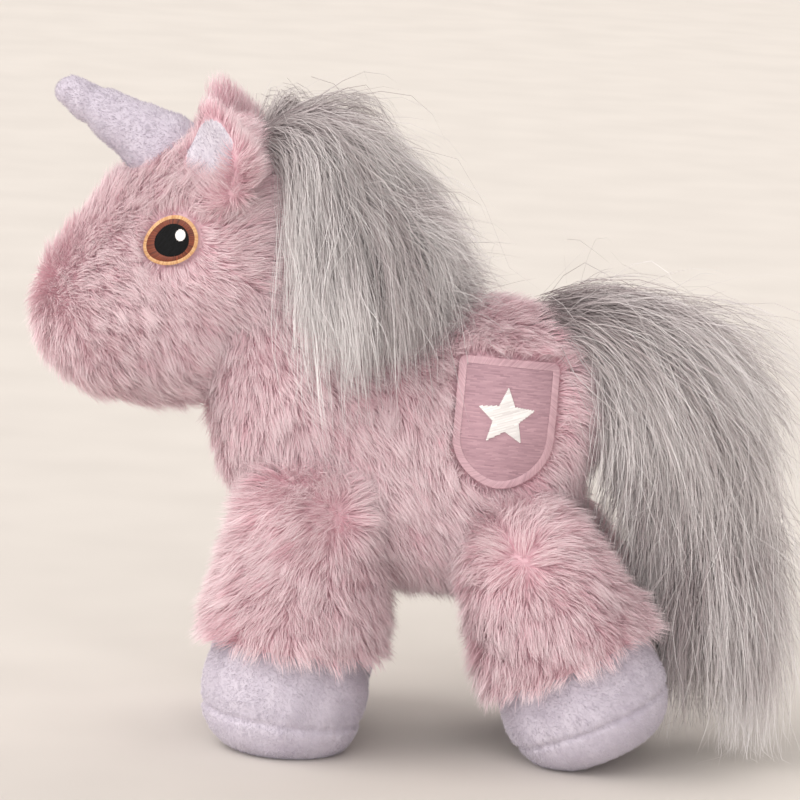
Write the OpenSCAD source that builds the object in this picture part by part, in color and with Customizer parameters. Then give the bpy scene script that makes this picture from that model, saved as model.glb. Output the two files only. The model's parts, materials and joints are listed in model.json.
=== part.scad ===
// Standing plush unicorn: sewn fur shells over loose filling, with soft joints at the seams.
// +Z is up, it faces -X, and its left side is at -Y. The origin is on the ground, below the
// middle of its box. Millimetres.

/* [Body] */
// Radius of the shoulders
chest_r = 36; // [34:0.5:37]
// Radius of the rump
rump_r = 38; // [36:0.5:39]
// Thickness of the fur fabric, backing and packed pile together
fur_t = 2.6; // [2:0.1:3]

/* [Head] */
// Radius of the cranium
cranium_r = 35; // [34:0.5:36]
// Radius of the muzzle
muzzle_r = 29; // [27:0.5:29]
// Radius of the head's rounded back, which turns in the hollow top of the neck
ball_r = 32; // [31:0.5:32]
// Length of the horn from its root to its tip
horn_length = 42; // [34:1:46]
// Length of an ear above its root
ear_length = 34; // [28:1:38]
// Width of an embroidered eye, cream rim included
eye_width = 19; // [15:0.5:21]

/* [Legs] */
// Largest radius of a hoof
hoof_r = 28.5; // [27:0.5:28.5]
// How far a front leg leans forwards, in degrees
front_lean = 5; // [3:1:7]
// How far a rear leg leans backwards, in degrees
rear_lean = 26; // [22:1:27]
// Distance from the middle of the body to a leg's centre line
leg_y = 29.5; // [29.5:0.5:31]

/* [Badge] */
// Width of the embroidered shield
badge_width = 36; // [28:1:38]
// Height of the embroidered shield
badge_height = 45; // [36:1:46]

/* [Hidden] */

form_fn = 24;
velour_t = 1.8;
gap = 0.3;
big = 600;

pink = "#e3b3c0";
lilac = "#d3cbd6";
hair_grey = "#b9aeaa";
filling_white = "#f4f2ee";

// Each lump of a soft form is a ball: its centre and its radius.
chest = [[-30, 0, 112], chest_r];
rump = [[24, 0, 119], rump_r];
belly_front = [[-24, 0, 97], chest_r - 3];
belly_rear = [[18, 0, 97], rump_r - 5];
neck_middle = [[-42, 0, 143], 31];
neck_top = [[-44, 0, 164], 27];
dock = [[47, 0, 136], 15];

cranium = [[-74, 0, 180], cranium_r];
muzzle = [[-103, 0, 153], muzzle_r];
cheek = [[-85, 0, 160], muzzle_r];
neck_ball = [[-64, 0, 166], ball_r];

// The head turns about the neck's own line and nods about Y, both through the ball's centre.
neck_lean = 30;
turn_limit = 15;
nod_limits = [-6, 18];

horn_way = [-90 + 31, 0];
horn_seat = cranium[0] + (cranium_r - 1) * [-0.63, 0, 0.777];
horn_base_r = 12.5;
horn_tip_r = 5;

ear_seat = [-62, 38.5, 200];
ear_root_r = 4.5;
ear_half_width = 12.5;
ear_root_half = 5.5;

front_hinge = [-35, 0, 82];
rear_hinge = [41, 0, 73];
disc_in_y = 15;
disc_out_y = 51;
front_disc_r = 25;
rear_disc_r = 24;
ring_r = 27;
front_hem = 44;
rear_hem = 40;
hem_reach = 48;
bay_depth = 100;
front_swing = 20;
rear_swing = [-22, 10];
flattened = 1.3;

tail_seat = [66, 0, 143];
tail_root_r = 8;

// ---- Soft forms ----

module ball(lump, grow = 0) {
    translate(lump[0]) sphere(r = lump[1] + grow, $fn = form_fn);
}

module joined(lumps, grow = 0) {
    hull() for (lump = lumps) ball(lump, grow);
}

module chain(lumps, grow = 0) {
    for (i = [1 : len(lumps) - 1]) joined([lumps[i - 1], lumps[i]], grow);
}

module left_side(y = 0) {
    translate([-big / 2, -big - y, -big / 2]) cube(big);
}

module middle_band(half) {
    translate([-big / 2, -half, -big / 2]) cube([big, 2 * half, big]);
}

// ---- Head ----

module head_form(grow = 0) {
    joined([cranium, muzzle], grow);
    joined([cranium, cheek], grow);
    joined([cheek, muzzle], grow);
    joined([cranium, neck_ball], grow);
}

module turned_about_neck(turn, nod) {
    translate(neck_ball[0]) rotate([0, -neck_lean, 0]) rotate([0, 0, turn]) rotate([0, neck_lean, 0])
        rotate([0, nod, 0]) translate(-neck_ball[0]) children();
}

// The room that the head needs in the top of the neck, over its whole movement.
module head_room() {
    for (pair = [[cranium, neck_ball], [cranium, cheek], [cheek, muzzle]])
        hull() for (turn = [-turn_limit, 0, turn_limit], nod = nod_limits, lump = pair)
            turned_about_neck(turn, nod) ball(lump, 3 * gap);
}

gusset_half = 15;

module head_shell() {
    difference() {
        head_form();
        head_form(-fur_t);
        translate(horn_seat) sphere(r = horn_base_r + gap, $fn = form_fn);
    }
}

// Everything above the line from the nose to the nape.
module above_nose_line() {
    translate(muzzle[0]) rotate([0, -18, 0]) translate([-big / 2, -big / 2, 0]) cube(big);
}

module head_panel() {
    intersection() {
        head_shell();
        left_side(gusset_half);
    }
}

module head_panel_left() { color(pink) head_panel(); }
module head_panel_right() { color(pink) mirror([0, 1, 0]) head_panel(); }

module head_gusset() {
    color(pink) intersection() {
        head_shell();
        middle_band(gusset_half);
        above_nose_line();
    }
}

module chin_gusset() {
    color(pink) difference() {
        intersection() {
            head_shell();
            middle_band(gusset_half);
        }
        above_nose_line();
    }
}

module head_filling() {
    color(filling_white) difference() {
        head_form(-fur_t - gap);
        translate(horn_seat) sphere(r = horn_base_r + gap, $fn = form_fn);
    }
}

module head_mane() {
    color(hair_grey) difference() {
        chain([[[-92, 0, 212], 8], [[-72, 0, 221], 12], [[-52, 0, 218], 16]]);
        head_form(gap);
        translate(horn_seat) sphere(r = horn_base_r + 4, $fn = form_fn);
    }
}

// ---- Eyes: rings of embroidery that follow the head's surface ----

eye_seat = [-89, 32, 179];
eye_lift = [0.25, 1.5];

module eye_outline(shrink) {
    wide = eye_width * 0.4 - shrink;
    narrow = eye_width * 0.29 - shrink;
    hull() {
        translate([1.6, 1.2]) circle(r = wide, $fn = 32);
        translate([-3.3, -2.5]) circle(r = narrow, $fn = 32);
    }
}

// Puts a flat outline on the left side of the head and keeps what lies in the stitches' layer.
module on_left_cheek() {
    difference() {
        intersection() {
            head_form(eye_lift[1]);
            translate([eye_seat[0], -eye_seat[1] + 12, eye_seat[2]]) rotate([90, 0, -24])
                linear_extrude(24) children();
        }
        head_form(eye_lift[0]);
    }
}

module eye_rim() { color("#e8c58c") on_left_cheek() difference() { eye_outline(0); eye_outline(1.1); } }
module eye_iris() { color("#7a2f17") on_left_cheek() difference() { eye_outline(1.1); eye_outline(3); } }
module glint_spot() { translate([3.4, 3]) scale([0.8, 1]) circle(r = 1.7, $fn = 24); }
module eye_pupil() { color("#15161c") on_left_cheek() difference() { eye_outline(3); glint_spot(); } }
module eye_glint() { color("white") on_left_cheek() glint_spot(); }

// ---- Horn ----

// Half outline of the horn on its own axis: a round root, a straight cone and a round tip.
function horn_outline(inset) = concat(
    [for (a = [-90 : 15 : 0]) [(horn_base_r - inset) * cos(a), (horn_base_r - inset) * sin(a)]],
    [for (a = [0 : 15 : 90]) [
        (horn_tip_r - inset) * cos(a),
        horn_length - horn_tip_r + (horn_tip_r - inset) * sin(a)
    ]]
);

module on_forehead() {
    translate(horn_seat) rotate([0, horn_way[0], 0]) children();
}

module horn_solid(inset) {
    rotate_extrude($fn = 48) polygon(horn_outline(inset));
}

module horn_cover() {
    color(lilac) on_forehead() difference() {
        horn_solid(0);
        horn_solid(velour_t);
    }
}

module horn_filling() { color(filling_white) on_forehead() horn_solid(velour_t + gap / 2); }

// ---- Ears: a leaf of fur with a velour lining, standing on a rolled root ----

module ear_leaf(inset) {
    hull() {
        translate([0, ear_length * 0.42]) circle(r = ear_half_width - inset, $fn = 40);
        translate([0, ear_length - 5]) circle(r = 5 - inset, $fn = 32);
        translate([inset - ear_root_half, 0]) square([2 * (ear_root_half - inset), 1]);
    }
}

module on_crown() {
    translate([ear_seat[0], -ear_seat[1], ear_seat[2]])
        rotate([-9, 0, 0]) rotate([0, -12, 0]) rotate([0, 0, -52]) children();
}

module ear_back() {
    color(pink) on_crown() difference() {
        union() {
            rotate([0, 90, 0]) cylinder(r = ear_root_r, h = 2 * ear_root_half, center = true, $fn = 32);
            rotate([90, 0, 0]) translate([0, 0, -4]) linear_extrude(5.5)
                intersection() {
                    ear_leaf(0);
                    translate([-big / 2, 0]) square(big);
                }
        }
        rotate([90, 0, 0]) translate([0, ear_root_r, 1.5]) linear_extrude(20) square(60, center = true);
    }
}

module ear_lining() {
    color(lilac) on_crown() rotate([90, 0, 0]) translate([0, 0, 1.5]) linear_extrude(2.2)
        difference() {
            ear_leaf(2.5);
            translate([-big / 2, -big + ear_root_r + 2]) square(big);
        }
}

// ---- Torso ----

module torso_form(grow = 0) {
    joined([chest, rump, belly_front, belly_rear], grow);
    joined([chest, neck_middle], grow);
    joined([neck_middle, neck_top], grow);
    joined([rump, dock], grow);
}

// The pocket beside the belly that a leg swings in, between its two extreme angles.
module leg_bay(hinge, disc_r, angles) {
    for (way = [0, 1])
        mirror([0, way, 0]) translate([hinge[0], 0, hinge[2]]) hull() {
            translate([0, disc_in_y - 2 * gap, 0]) rotate([-90, 0, 0])
                cylinder(r = disc_r + 2 * gap, h = bay_depth, $fn = 32);
            for (angle = angles)
                rotate([0, -angle, 0]) translate([-ring_r - gap, leg_y - ring_r - 2 * gap, -hem_reach])
                    cube([2 * (ring_r + gap), bay_depth, 4]);
        }
}

module leg_bays() {
    leg_bay(front_hinge, front_disc_r, [-front_lean - front_swing, -front_lean + front_swing]);
    leg_bay(rear_hinge, rear_disc_r, [rear_lean + rear_swing[0], rear_lean + rear_swing[1]]);
}

module down_the_neck() {
    translate(neck_ball[0]) rotate([0, -neck_lean, 0]) children();
}

wad_r = 19;
wad_reach = 58;

module torso_shell() {
    difference() {
        torso_form();
        torso_form(-fur_t);
        head_room();
        leg_bays();
        translate(tail_seat) sphere(r = tail_root_r + 2 * gap, $fn = form_fn);
    }
}

// The strip of belly between the legs.
module belly_strip() {
    translate([-58, -disc_in_y + 1, 40]) cube([104, 2 * disc_in_y - 2, 44]);
}

module body_panel() {
    difference() {
        intersection() {
            torso_shell();
            left_side();
        }
        belly_strip();
    }
}

module body_panel_left() { color(pink) body_panel(); }
module body_panel_right() { color(pink) mirror([0, 1, 0]) body_panel(); }

module belly_gusset() {
    color(pink) intersection() {
        torso_shell();
        belly_strip();
    }
}

module body_filling() {
    color(filling_white) difference() {
        torso_form(-fur_t - gap);
        head_room();
        leg_bays();
        translate(tail_seat) sphere(r = tail_root_r + 2 * gap, $fn = form_fn);
        down_the_neck() translate([0, 0, -wad_reach - gap])
            cylinder(r = wad_r + gap, h = wad_reach, $fn = 32);
    }
}

module neck_wad() {
    color(filling_white) down_the_neck() difference() {
        translate([0, 0, -wad_reach]) cylinder(r = wad_r, h = wad_reach - 20, $fn = 32);
        sphere(r = ball_r + gap, $fn = 48);
    }
}

module neck_mane() {
    crest = [[-12, 0, 186], 15];
    color(hair_grey) difference() {
        union() {
            chain([crest, [[2, 0, 167], 14], [[18, 0, 162], 9]]);
            for (side = [-1, 1]) chain([crest, [[-20, side * 25, 160], 9], [[-22, side * 32, 148], 7]]);
        }
        torso_form(gap);
    }
}

// ---- Badge: a shield of embroidery on the left hip ----

badge_seat = [31, 121];

module shield(inset) {
    w = badge_width / 2 - inset;
    h = badge_height / 2 - inset;
    hull() {
        for (x = [-1, 1]) translate([x * (w - 3), h - 3]) circle(r = 3, $fn = 24);
        intersection() {
            translate([-w, 0]) circle(r = 2 * w, $fn = 64);
            translate([w, 0]) circle(r = 2 * w, $fn = 64);
            translate([-w, -h]) square([2 * w, h]);
        }
    }
}

module star(r) {
    polygon([for (i = [0 : 9]) (i % 2 ? 0.46 : 1) * r * [sin(36 * i), cos(36 * i)]]);
}

module on_left_hip(from, to) {
    difference() {
        intersection() {
            torso_form(to);
            translate([badge_seat[0], 0, badge_seat[1]]) rotate([90, 0, 0]) linear_extrude(60) children();
        }
        torso_form(from);
    }
}

module badge_field() { color("#d9a3b3") on_left_hip(gap, 1.3) shield(1.6); }
module badge_border() { color("#b06f84") on_left_hip(gap, 2.1) difference() { shield(0); shield(1.6); } }
module badge_star() { color("#f3f0ee") on_left_hip(1.4, 2.1) star(badge_width * 0.3); }

// ---- Tail ----

module tail_root() {
    color(hair_grey) difference() {
        joined([[tail_seat, tail_root_r], [[80, 0, 146], 9]]);
        tail_hair_form();
    }
}

module tail_hair_form() {
    chain([
        [[82, 0, 147], 13], [[104, 0, 133], 20], [[114, 0, 98], 18.4], [[115, 0, 55], 15], [[112, 0, 22], 10]
    ]);
}

module tail_hair() { color(hair_grey) tail_hair_form(); }

// ---- Legs: drawn hanging straight down from a hinge at the origin, for the side at +Y ----

// Half outline of a hoof: radius, then height above its sole.
hoof_outline = [[0, 0], [15, 0], [20.5, 1], [24.6, 3.8], [27.2, 8], [hoof_r - 0.3, 13],
    [hoof_r, 18], [hoof_r - 0.4, 25], [ring_r, 33]];
seam_at = 5;

// How long a leg is, from its hinge to its sole, for its hoof to press this far into the ground.
function leg_length(height, lean) =
    (height + flattened - max([for (p = hoof_outline) p[0] * sin(lean) - p[1] * cos(lean)])) / cos(lean);

module leg_form(disc_r, hem, grow = 0, below = 0) {
    width = disc_out_y - disc_in_y;
    hull() {
        translate([0, disc_in_y - grow + 5, 0]) rotate([-90, 0, 0])
            cylinder(r = disc_r + grow, h = width + 2 * grow - 10, $fn = 32);
        translate([0, disc_in_y - grow, 0]) rotate([-90, 0, 0])
            cylinder(r = disc_r + grow - 5, h = width + 2 * grow, $fn = 32);
        translate([0, leg_y, -hem - below]) cylinder(r = ring_r + grow, h = 4 + below, $fn = 32);
    }
}

module leg_shell(disc_r, hem) {
    difference() {
        leg_form(disc_r, hem);
        leg_form(disc_r, hem, -fur_t, 1);
    }
}

module leg_outer(disc_r, hem) {
    color(pink) intersection() {
        leg_shell(disc_r, hem);
        translate([-big / 2, leg_y, -big / 2]) cube(big);
    }
}

module leg_inner(disc_r, hem) {
    color(pink) intersection() {
        leg_shell(disc_r, hem);
        translate([-big / 2, leg_y - big, -big / 2]) cube(big);
    }
}

// The outline's points from one to another, drawn in by an inset and set at a leg's end.
function hoof_run(from, to, inset, length) = [
    for (i = [from : to]) [
        max(0, hoof_outline[i][0] - inset),
        hoof_outline[i][1] + (i < seam_at ? inset : 0) - length
    ]
];

module ground_cut(lean, hinge) {
    difference() {
        children();
        rotate([0, lean, 0]) translate([-big / 2, -big / 2, -hinge[2] - big]) cube(big);
    }
}

module hoof_sole(hinge, lean) {
    length = leg_length(hinge[2], abs(lean));
    inner = hoof_run(0, seam_at, velour_t + 0.8, length);
    color(lilac) ground_cut(lean, hinge) translate([0, leg_y, 0]) rotate_extrude($fn = 64)
        polygon(concat(
            hoof_run(0, seam_at, 0, length),
            [for (i = [len(inner) - 1 : -1 : 0]) inner[i]]
        ));
}

module hoof_wall(hinge, lean, hem) {
    length = leg_length(hinge[2], abs(lean));
    last = len(hoof_outline) - 1;
    inner = hoof_run(seam_at, last, velour_t + 0.8, length);
    color(lilac) translate([0, leg_y, 0]) rotate_extrude($fn = 64)
        polygon(concat(
            hoof_run(seam_at, last, 0, length),
            [[ring_r, -hem], [ring_r - velour_t - 0.8, -hem]],
            [for (i = [len(inner) - 1 : -1 : 0]) inner[i]]
        ));
}

module leg_filling(hinge, lean, hem, disc_r) {
    length = leg_length(hinge[2], abs(lean));
    last = len(hoof_outline) - 1;
    inset = velour_t + 0.8 + gap;
    color(filling_white) union() {
        leg_form(disc_r, hem, -fur_t - gap, gap);
        translate([0, leg_y, 0]) rotate_extrude($fn = 48)
            polygon(concat(hoof_run(0, last, inset, length), [[ring_r - inset, -hem], [0, -hem]]));
    }
}

// Puts a leg at its hinge, leaning, on the left (-1) or the right (1).
module set_leg(hinge, lean, side) {
    translate(hinge) mirror([0, side < 0 ? 1 : 0, 0]) rotate([0, -lean, 0]) children();
}

module front_leg(side) { set_leg(front_hinge, -front_lean, side) children(); }
module rear_leg(side) { set_leg(rear_hinge, rear_lean, side) children(); }

module front_piece(name, side) {
    front_leg(side) {
        if (name == "outer") leg_outer(front_disc_r, front_hem);
        if (name == "inner") leg_inner(front_disc_r, front_hem);
        if (name == "wall") hoof_wall(front_hinge, -front_lean, front_hem);
        if (name == "sole") hoof_sole(front_hinge, -front_lean);
        if (name == "filling") leg_filling(front_hinge, -front_lean, front_hem, front_disc_r);
    }
}

module rear_piece(name, side) {
    rear_leg(side) {
        if (name == "outer") leg_outer(rear_disc_r, rear_hem);
        if (name == "inner") leg_inner(rear_disc_r, rear_hem);
        if (name == "wall") hoof_wall(rear_hinge, rear_lean, rear_hem);
        if (name == "sole") hoof_sole(rear_hinge, rear_lean);
        if (name == "filling") leg_filling(rear_hinge, rear_lean, rear_hem, rear_disc_r);
    }
}

// ---- Nodes ----

body_panel_left();
body_panel_right();
belly_gusset();
body_filling();
neck_mane();
badge_field();
badge_border();
badge_star();
neck_wad();
head_panel_left();
head_panel_right();
head_gusset();
chin_gusset();
head_filling();
head_mane();
horn_cover();
horn_filling();
tail_root();
tail_hair();

for (side = [["left", 0], ["right", 1]]) {
    mirror([0, side[1], 0]) eye_rim();
    mirror([0, side[1], 0]) eye_iris();
    mirror([0, side[1], 0]) eye_pupil();
    mirror([0, side[1], 0]) eye_glint();
    mirror([0, side[1], 0]) ear_back();
    mirror([0, side[1], 0]) ear_lining();
    way = side[1] == 0 ? -1 : 1;
    for (piece = ["outer", "inner"]) {
        front_piece(piece, way);
        rear_piece(piece, way);
    }
    for (piece = ["wall", "sole"]) {
        front_piece(piece, way);
        rear_piece(piece, way);
    }
    front_piece("filling", way);
    rear_piece("filling", way);
}
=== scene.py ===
"""A standing plush unicorn: fur shells over loose filling, velour hooves and horn, long hair.

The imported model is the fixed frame. Every piece is made here in the same coordinates, with its
sizes in millimetres, and rides on one of the model's bodies.
"""

from __future__ import annotations

import json
import logging
import math
from collections.abc import Callable
from dataclasses import dataclass, field
from enum import Enum

import bmesh
import bpy
import numpy as np
from mathutils import Matrix, Vector
from mathutils.bvhtree import BVHTree
from mathutils.kdtree import KDTree

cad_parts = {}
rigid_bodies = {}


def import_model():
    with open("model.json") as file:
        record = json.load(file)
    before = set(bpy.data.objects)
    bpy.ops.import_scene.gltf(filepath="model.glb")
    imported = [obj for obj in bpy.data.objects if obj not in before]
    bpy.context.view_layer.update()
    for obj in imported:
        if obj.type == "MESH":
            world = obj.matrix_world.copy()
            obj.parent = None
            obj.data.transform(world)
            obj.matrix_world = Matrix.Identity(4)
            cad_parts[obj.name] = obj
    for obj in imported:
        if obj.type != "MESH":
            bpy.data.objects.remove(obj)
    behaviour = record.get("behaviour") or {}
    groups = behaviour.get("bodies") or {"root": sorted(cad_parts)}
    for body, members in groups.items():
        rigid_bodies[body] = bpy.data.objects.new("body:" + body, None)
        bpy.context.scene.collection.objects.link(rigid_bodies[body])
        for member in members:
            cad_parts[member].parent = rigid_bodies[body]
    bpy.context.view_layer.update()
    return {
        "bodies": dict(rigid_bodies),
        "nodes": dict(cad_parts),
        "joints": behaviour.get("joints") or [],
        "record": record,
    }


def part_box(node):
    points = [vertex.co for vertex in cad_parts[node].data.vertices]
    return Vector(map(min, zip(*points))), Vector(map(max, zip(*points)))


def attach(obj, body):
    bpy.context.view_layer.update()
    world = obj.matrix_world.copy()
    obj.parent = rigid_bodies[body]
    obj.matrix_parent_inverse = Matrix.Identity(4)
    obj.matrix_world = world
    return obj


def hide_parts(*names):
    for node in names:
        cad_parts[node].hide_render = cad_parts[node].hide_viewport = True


LOG = logging.getLogger("plush_unicorn")
MM = 0.001
UV_NAME = "OFBake"
UP = np.array([0.0, 0.0, 1.0])


class Side(Enum):
    """The animal's own left and right. Its value is the sign of Y on that side."""

    LEFT = -1
    RIGHT = 1

    @property
    def word(self) -> str:
        """The side's name as the nodes spell it."""
        return self.name.lower()


class End(Enum):
    """The two pairs of legs."""

    FRONT = "front"
    REAR = "rear"


# ---------------------------------------------------------------------------------------------
# Small geometry tools
# ---------------------------------------------------------------------------------------------


def unit(v: np.ndarray) -> np.ndarray:
    """Rows of v at length one."""
    return v / np.maximum(np.linalg.norm(v, axis=-1, keepdims=True), 1e-9)


def tangent(v: np.ndarray, normal: np.ndarray) -> np.ndarray:
    """Rows of v with their part along the unit normals taken away."""
    return v - np.sum(v * normal, axis=-1, keepdims=True) * normal


def smooth_step(low: float, high: float, x: np.ndarray) -> np.ndarray:
    """0 below low, 1 above high, and smooth between them."""
    t = np.clip((x - low) / (high - low), 0.0, 1.0)
    return t * t * (3.0 - 2.0 * t)


def ripple(p: np.ndarray, wave: float, seed: int) -> np.ndarray:
    """A smooth random vector field.

    Args:
        p: Points in millimetres, one a row.
        wave: The size of the swirls in millimetres.
        seed: Which field of the many possible ones.

    Returns:
        One vector a row, each part between about -1 and 1.
    """
    rng = np.random.default_rng(seed)
    out = np.zeros_like(p)
    for octave in (1.0, 2.1):
        turn = rng.normal(size=(3, 3)) * octave * 2.0 / wave
        phase = rng.uniform(0, 2 * math.pi, 3)
        out += np.sin(p @ turn + phase) / octave
    return out / 1.5


@dataclass(frozen=True)
class Lump:
    """A ball of filling: its centre and its radius, in millimetres."""

    x: float
    y: float
    z: float
    r: float

    @property
    def at(self) -> np.ndarray:
        """The centre as an array."""
        return np.array([self.x, self.y, self.z])


@dataclass
class Skin:
    """A triangulated surface in millimetres, with a normal at each vertex."""

    verts: np.ndarray
    tris: np.ndarray
    normals: np.ndarray

    @classmethod
    def of_mesh(cls, mesh: bpy.types.Mesh) -> "Skin":
        """Reads a Blender mesh in metres.

        Args:
            mesh: The mesh to read. It isn't changed.

        Returns:
            Its triangles as a Skin.
        """
        mesh.calc_loop_triangles()
        verts = np.empty(len(mesh.vertices) * 3)
        mesh.vertices.foreach_get("co", verts)
        normals = np.empty(len(mesh.vertices) * 3)
        mesh.vertices.foreach_get("normal", normals)
        tris = np.empty(len(mesh.loop_triangles) * 3, int)
        mesh.loop_triangles.foreach_get("vertices", tris)
        return cls(verts.reshape(-1, 3) / MM, tris.reshape(-1, 3), normals.reshape(-1, 3))

    @property
    def centres(self) -> np.ndarray:
        """The middle of each triangle."""
        return self.verts[self.tris].mean(axis=1)

    def part(self, keep: np.ndarray) -> "Skin":
        """The triangles that keep picks, with only their own vertices."""
        tris = self.tris[keep]
        used, again = np.unique(tris, return_inverse=True)
        return Skin(self.verts[used], again.reshape(-1, 3), self.normals[used])

    def grown(self, by: float) -> "Skin":
        """The surface moved out along its normals, by this many millimetres."""
        return Skin(self.verts + self.normals * by, self.tris, self.normals)

    def tree(self) -> BVHTree:
        """A search tree over the triangles, in millimetres."""
        return BVHTree.FromPolygons(self.verts.tolist(), self.tris.tolist())


@dataclass
class Soup:
    """Faces gathered for one mesh: points in millimetres, faces of 3 or 4 corners, and UVs."""

    verts: list[np.ndarray] = field(default_factory=list)
    faces: list[np.ndarray] = field(default_factory=list)
    uvs: list[np.ndarray] = field(default_factory=list)
    marks: list[np.ndarray] = field(default_factory=list)
    count: int = 0

    def add(self, verts: np.ndarray, faces: list[np.ndarray], uvs: np.ndarray, slot: int = 0) -> None:
        """Adds some points and the faces that join them.

        Args:
            verts: Points in millimetres, one a row.
            faces: Arrays of vertex rows, each with 3 or 4 columns.
            uvs: A UV for each point.
            slot: Which of the piece's materials the faces take.
        """
        self.verts.append(verts)
        self.uvs.append(uvs)
        for f in faces:
            self.faces.append(f + self.count)
            self.marks.append(np.full(len(f), slot))
        self.count += len(verts)

    def add_skin(self, skin: Skin, rng: np.random.Generator, slot: int = 0) -> None:
        """Adds a skin whose UVs lie in the strip that the pile's roots take their colour from: in a pile
        material, the darker root colour that is painted shade.
        """
        uvs = np.column_stack([rng.random(len(skin.verts)), rng.random(len(skin.verts)) * 0.06])
        self.add(skin.verts, [skin.tris], uvs, slot)

    def flip(self) -> None:
        """Moves everything to the animal's other side."""
        self.verts = [v * [1.0, -1.0, 1.0] for v in self.verts]
        self.faces = [f[:, ::-1] for f in self.faces]

    def shift(self, by: np.ndarray) -> None:
        """Moves everything by this many millimetres."""
        self.verts = [v + by for v in self.verts]

    def lean(self, degrees: float) -> None:
        """Swings everything about the Y axis, so that what hangs down moves towards +X."""
        c, s = math.cos(math.radians(degrees)), math.sin(math.radians(degrees))
        turn = np.array([[c, 0, -s], [0, 1, 0], [s, 0, c]])
        self.verts = [v @ turn.T for v in self.verts]

    def turn(self, degrees: tuple[float, float, float]) -> None:
        """Turns everything about Z, then Y, then X, by the third, second and first angle."""
        x, y, z = (Matrix.Rotation(math.radians(d), 3, a) for d, a in zip(degrees, "XYZ", strict=True))
        turn = np.array(x @ y @ z)
        self.verts = [v @ turn.T for v in self.verts]

    def press_down(self, hinge: np.ndarray) -> None:
        """Moves what is drawn at the origin to a hinge, and flattens what would be underground."""
        self.shift(hinge)
        for v in self.verts:
            v[:, 2] = np.maximum(v[:, 2], 0.15)

    def stand(self, side: Side) -> None:
        """Puts what is drawn on the right on the given side."""
        if side is Side.LEFT:
            self.flip()

    def piece(self, name: str, materials: list[bpy.types.Material]) -> bpy.types.Object:
        """Makes the mesh object.

        Args:
            name: The piece's name.
            materials: Its materials, in the order of the faces' slots.

        Returns:
            The new object, at the origin.
        """
        co = np.concatenate(self.verts) * MM
        uv = np.concatenate(self.uvs)
        loops = np.concatenate([f.ravel() for f in self.faces])
        sizes = np.concatenate([np.full(len(f), f.shape[1]) for f in self.faces])
        mesh = bpy.data.meshes.new(name)
        mesh.vertices.add(len(co))
        mesh.vertices.foreach_set("co", co.ravel())
        mesh.loops.add(len(loops))
        mesh.loops.foreach_set("vertex_index", loops.astype(np.int32))
        mesh.polygons.add(len(sizes))
        mesh.polygons.foreach_set("loop_start", (np.cumsum(sizes) - sizes).astype(np.int32))
        mesh.polygons.foreach_set("material_index", np.concatenate(self.marks).astype(np.int32))
        mesh.uv_layers.new(name=UV_NAME).data.foreach_set("uv", uv[loops].ravel())
        mesh.update(calc_edges=True)
        mesh.validate()
        obj = bpy.data.objects.new(name, mesh)
        bpy.context.scene.collection.objects.link(obj)
        for material in materials:
            mesh.materials.append(material)
        return obj


def with_normals(verts: np.ndarray, tris: np.ndarray) -> Skin:
    """A skin with each vertex's normal taken from the triangles round it."""
    a, b, c = (verts[tris[:, k]] for k in range(3))
    face = np.cross(b - a, c - a)
    normals = np.zeros_like(verts)
    for k in range(3):
        np.add.at(normals, tris[:, k], face)
    return Skin(verts, tris, unit(normals))


def sewn_form(groups: list[list[Lump]], voxel: float, rounds: int) -> Skin:
    """One smooth closed surface round groups of lumps, each group stretched over by one hull.

    Args:
        groups: The lumps of each hull.
        voxel: The size of the surface's cells in millimetres.
        rounds: How many times the surface is relaxed.

    Returns:
        The surface.
    """
    bm = bmesh.new()
    for group in groups:
        hull = bmesh.new()
        for lump in group:
            place = Matrix.Translation(Vector(lump.at * MM))
            bmesh.ops.create_icosphere(hull, subdivisions=4, radius=lump.r * MM, matrix=place)
        found = bmesh.ops.convex_hull(hull, input=hull.verts)
        loose = [v for v in found["geom_interior"] if isinstance(v, bmesh.types.BMVert)]
        bmesh.ops.delete(hull, geom=loose, context="VERTS")
        scratch = bpy.data.meshes.new("hull")
        hull.to_mesh(scratch)
        bm.from_mesh(scratch)
        bpy.data.meshes.remove(scratch)
        hull.free()
    mesh = bpy.data.meshes.new("form")
    bm.to_mesh(mesh)
    bm.free()
    obj = bpy.data.objects.new("form", mesh)
    bpy.context.scene.collection.objects.link(obj)
    remesh = obj.modifiers.new("cells", "REMESH")
    remesh.mode = "VOXEL"
    remesh.voxel_size = voxel * MM
    relax = obj.modifiers.new("relax", "SMOOTH")
    relax.factor = 0.5
    relax.iterations = rounds
    return take_apart(obj)


# How much too small a skin is drawn before it is stuffed, in millimetres.
SLACK = 0.7
# How far from a seam's line the cloth is still held by it, in millimetres.
HELD = 2.5
# The pressure that rounds a velour hoof, whose small cloth is stiffer for its size.
HOOF_PRESSURE = 150.0


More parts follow.
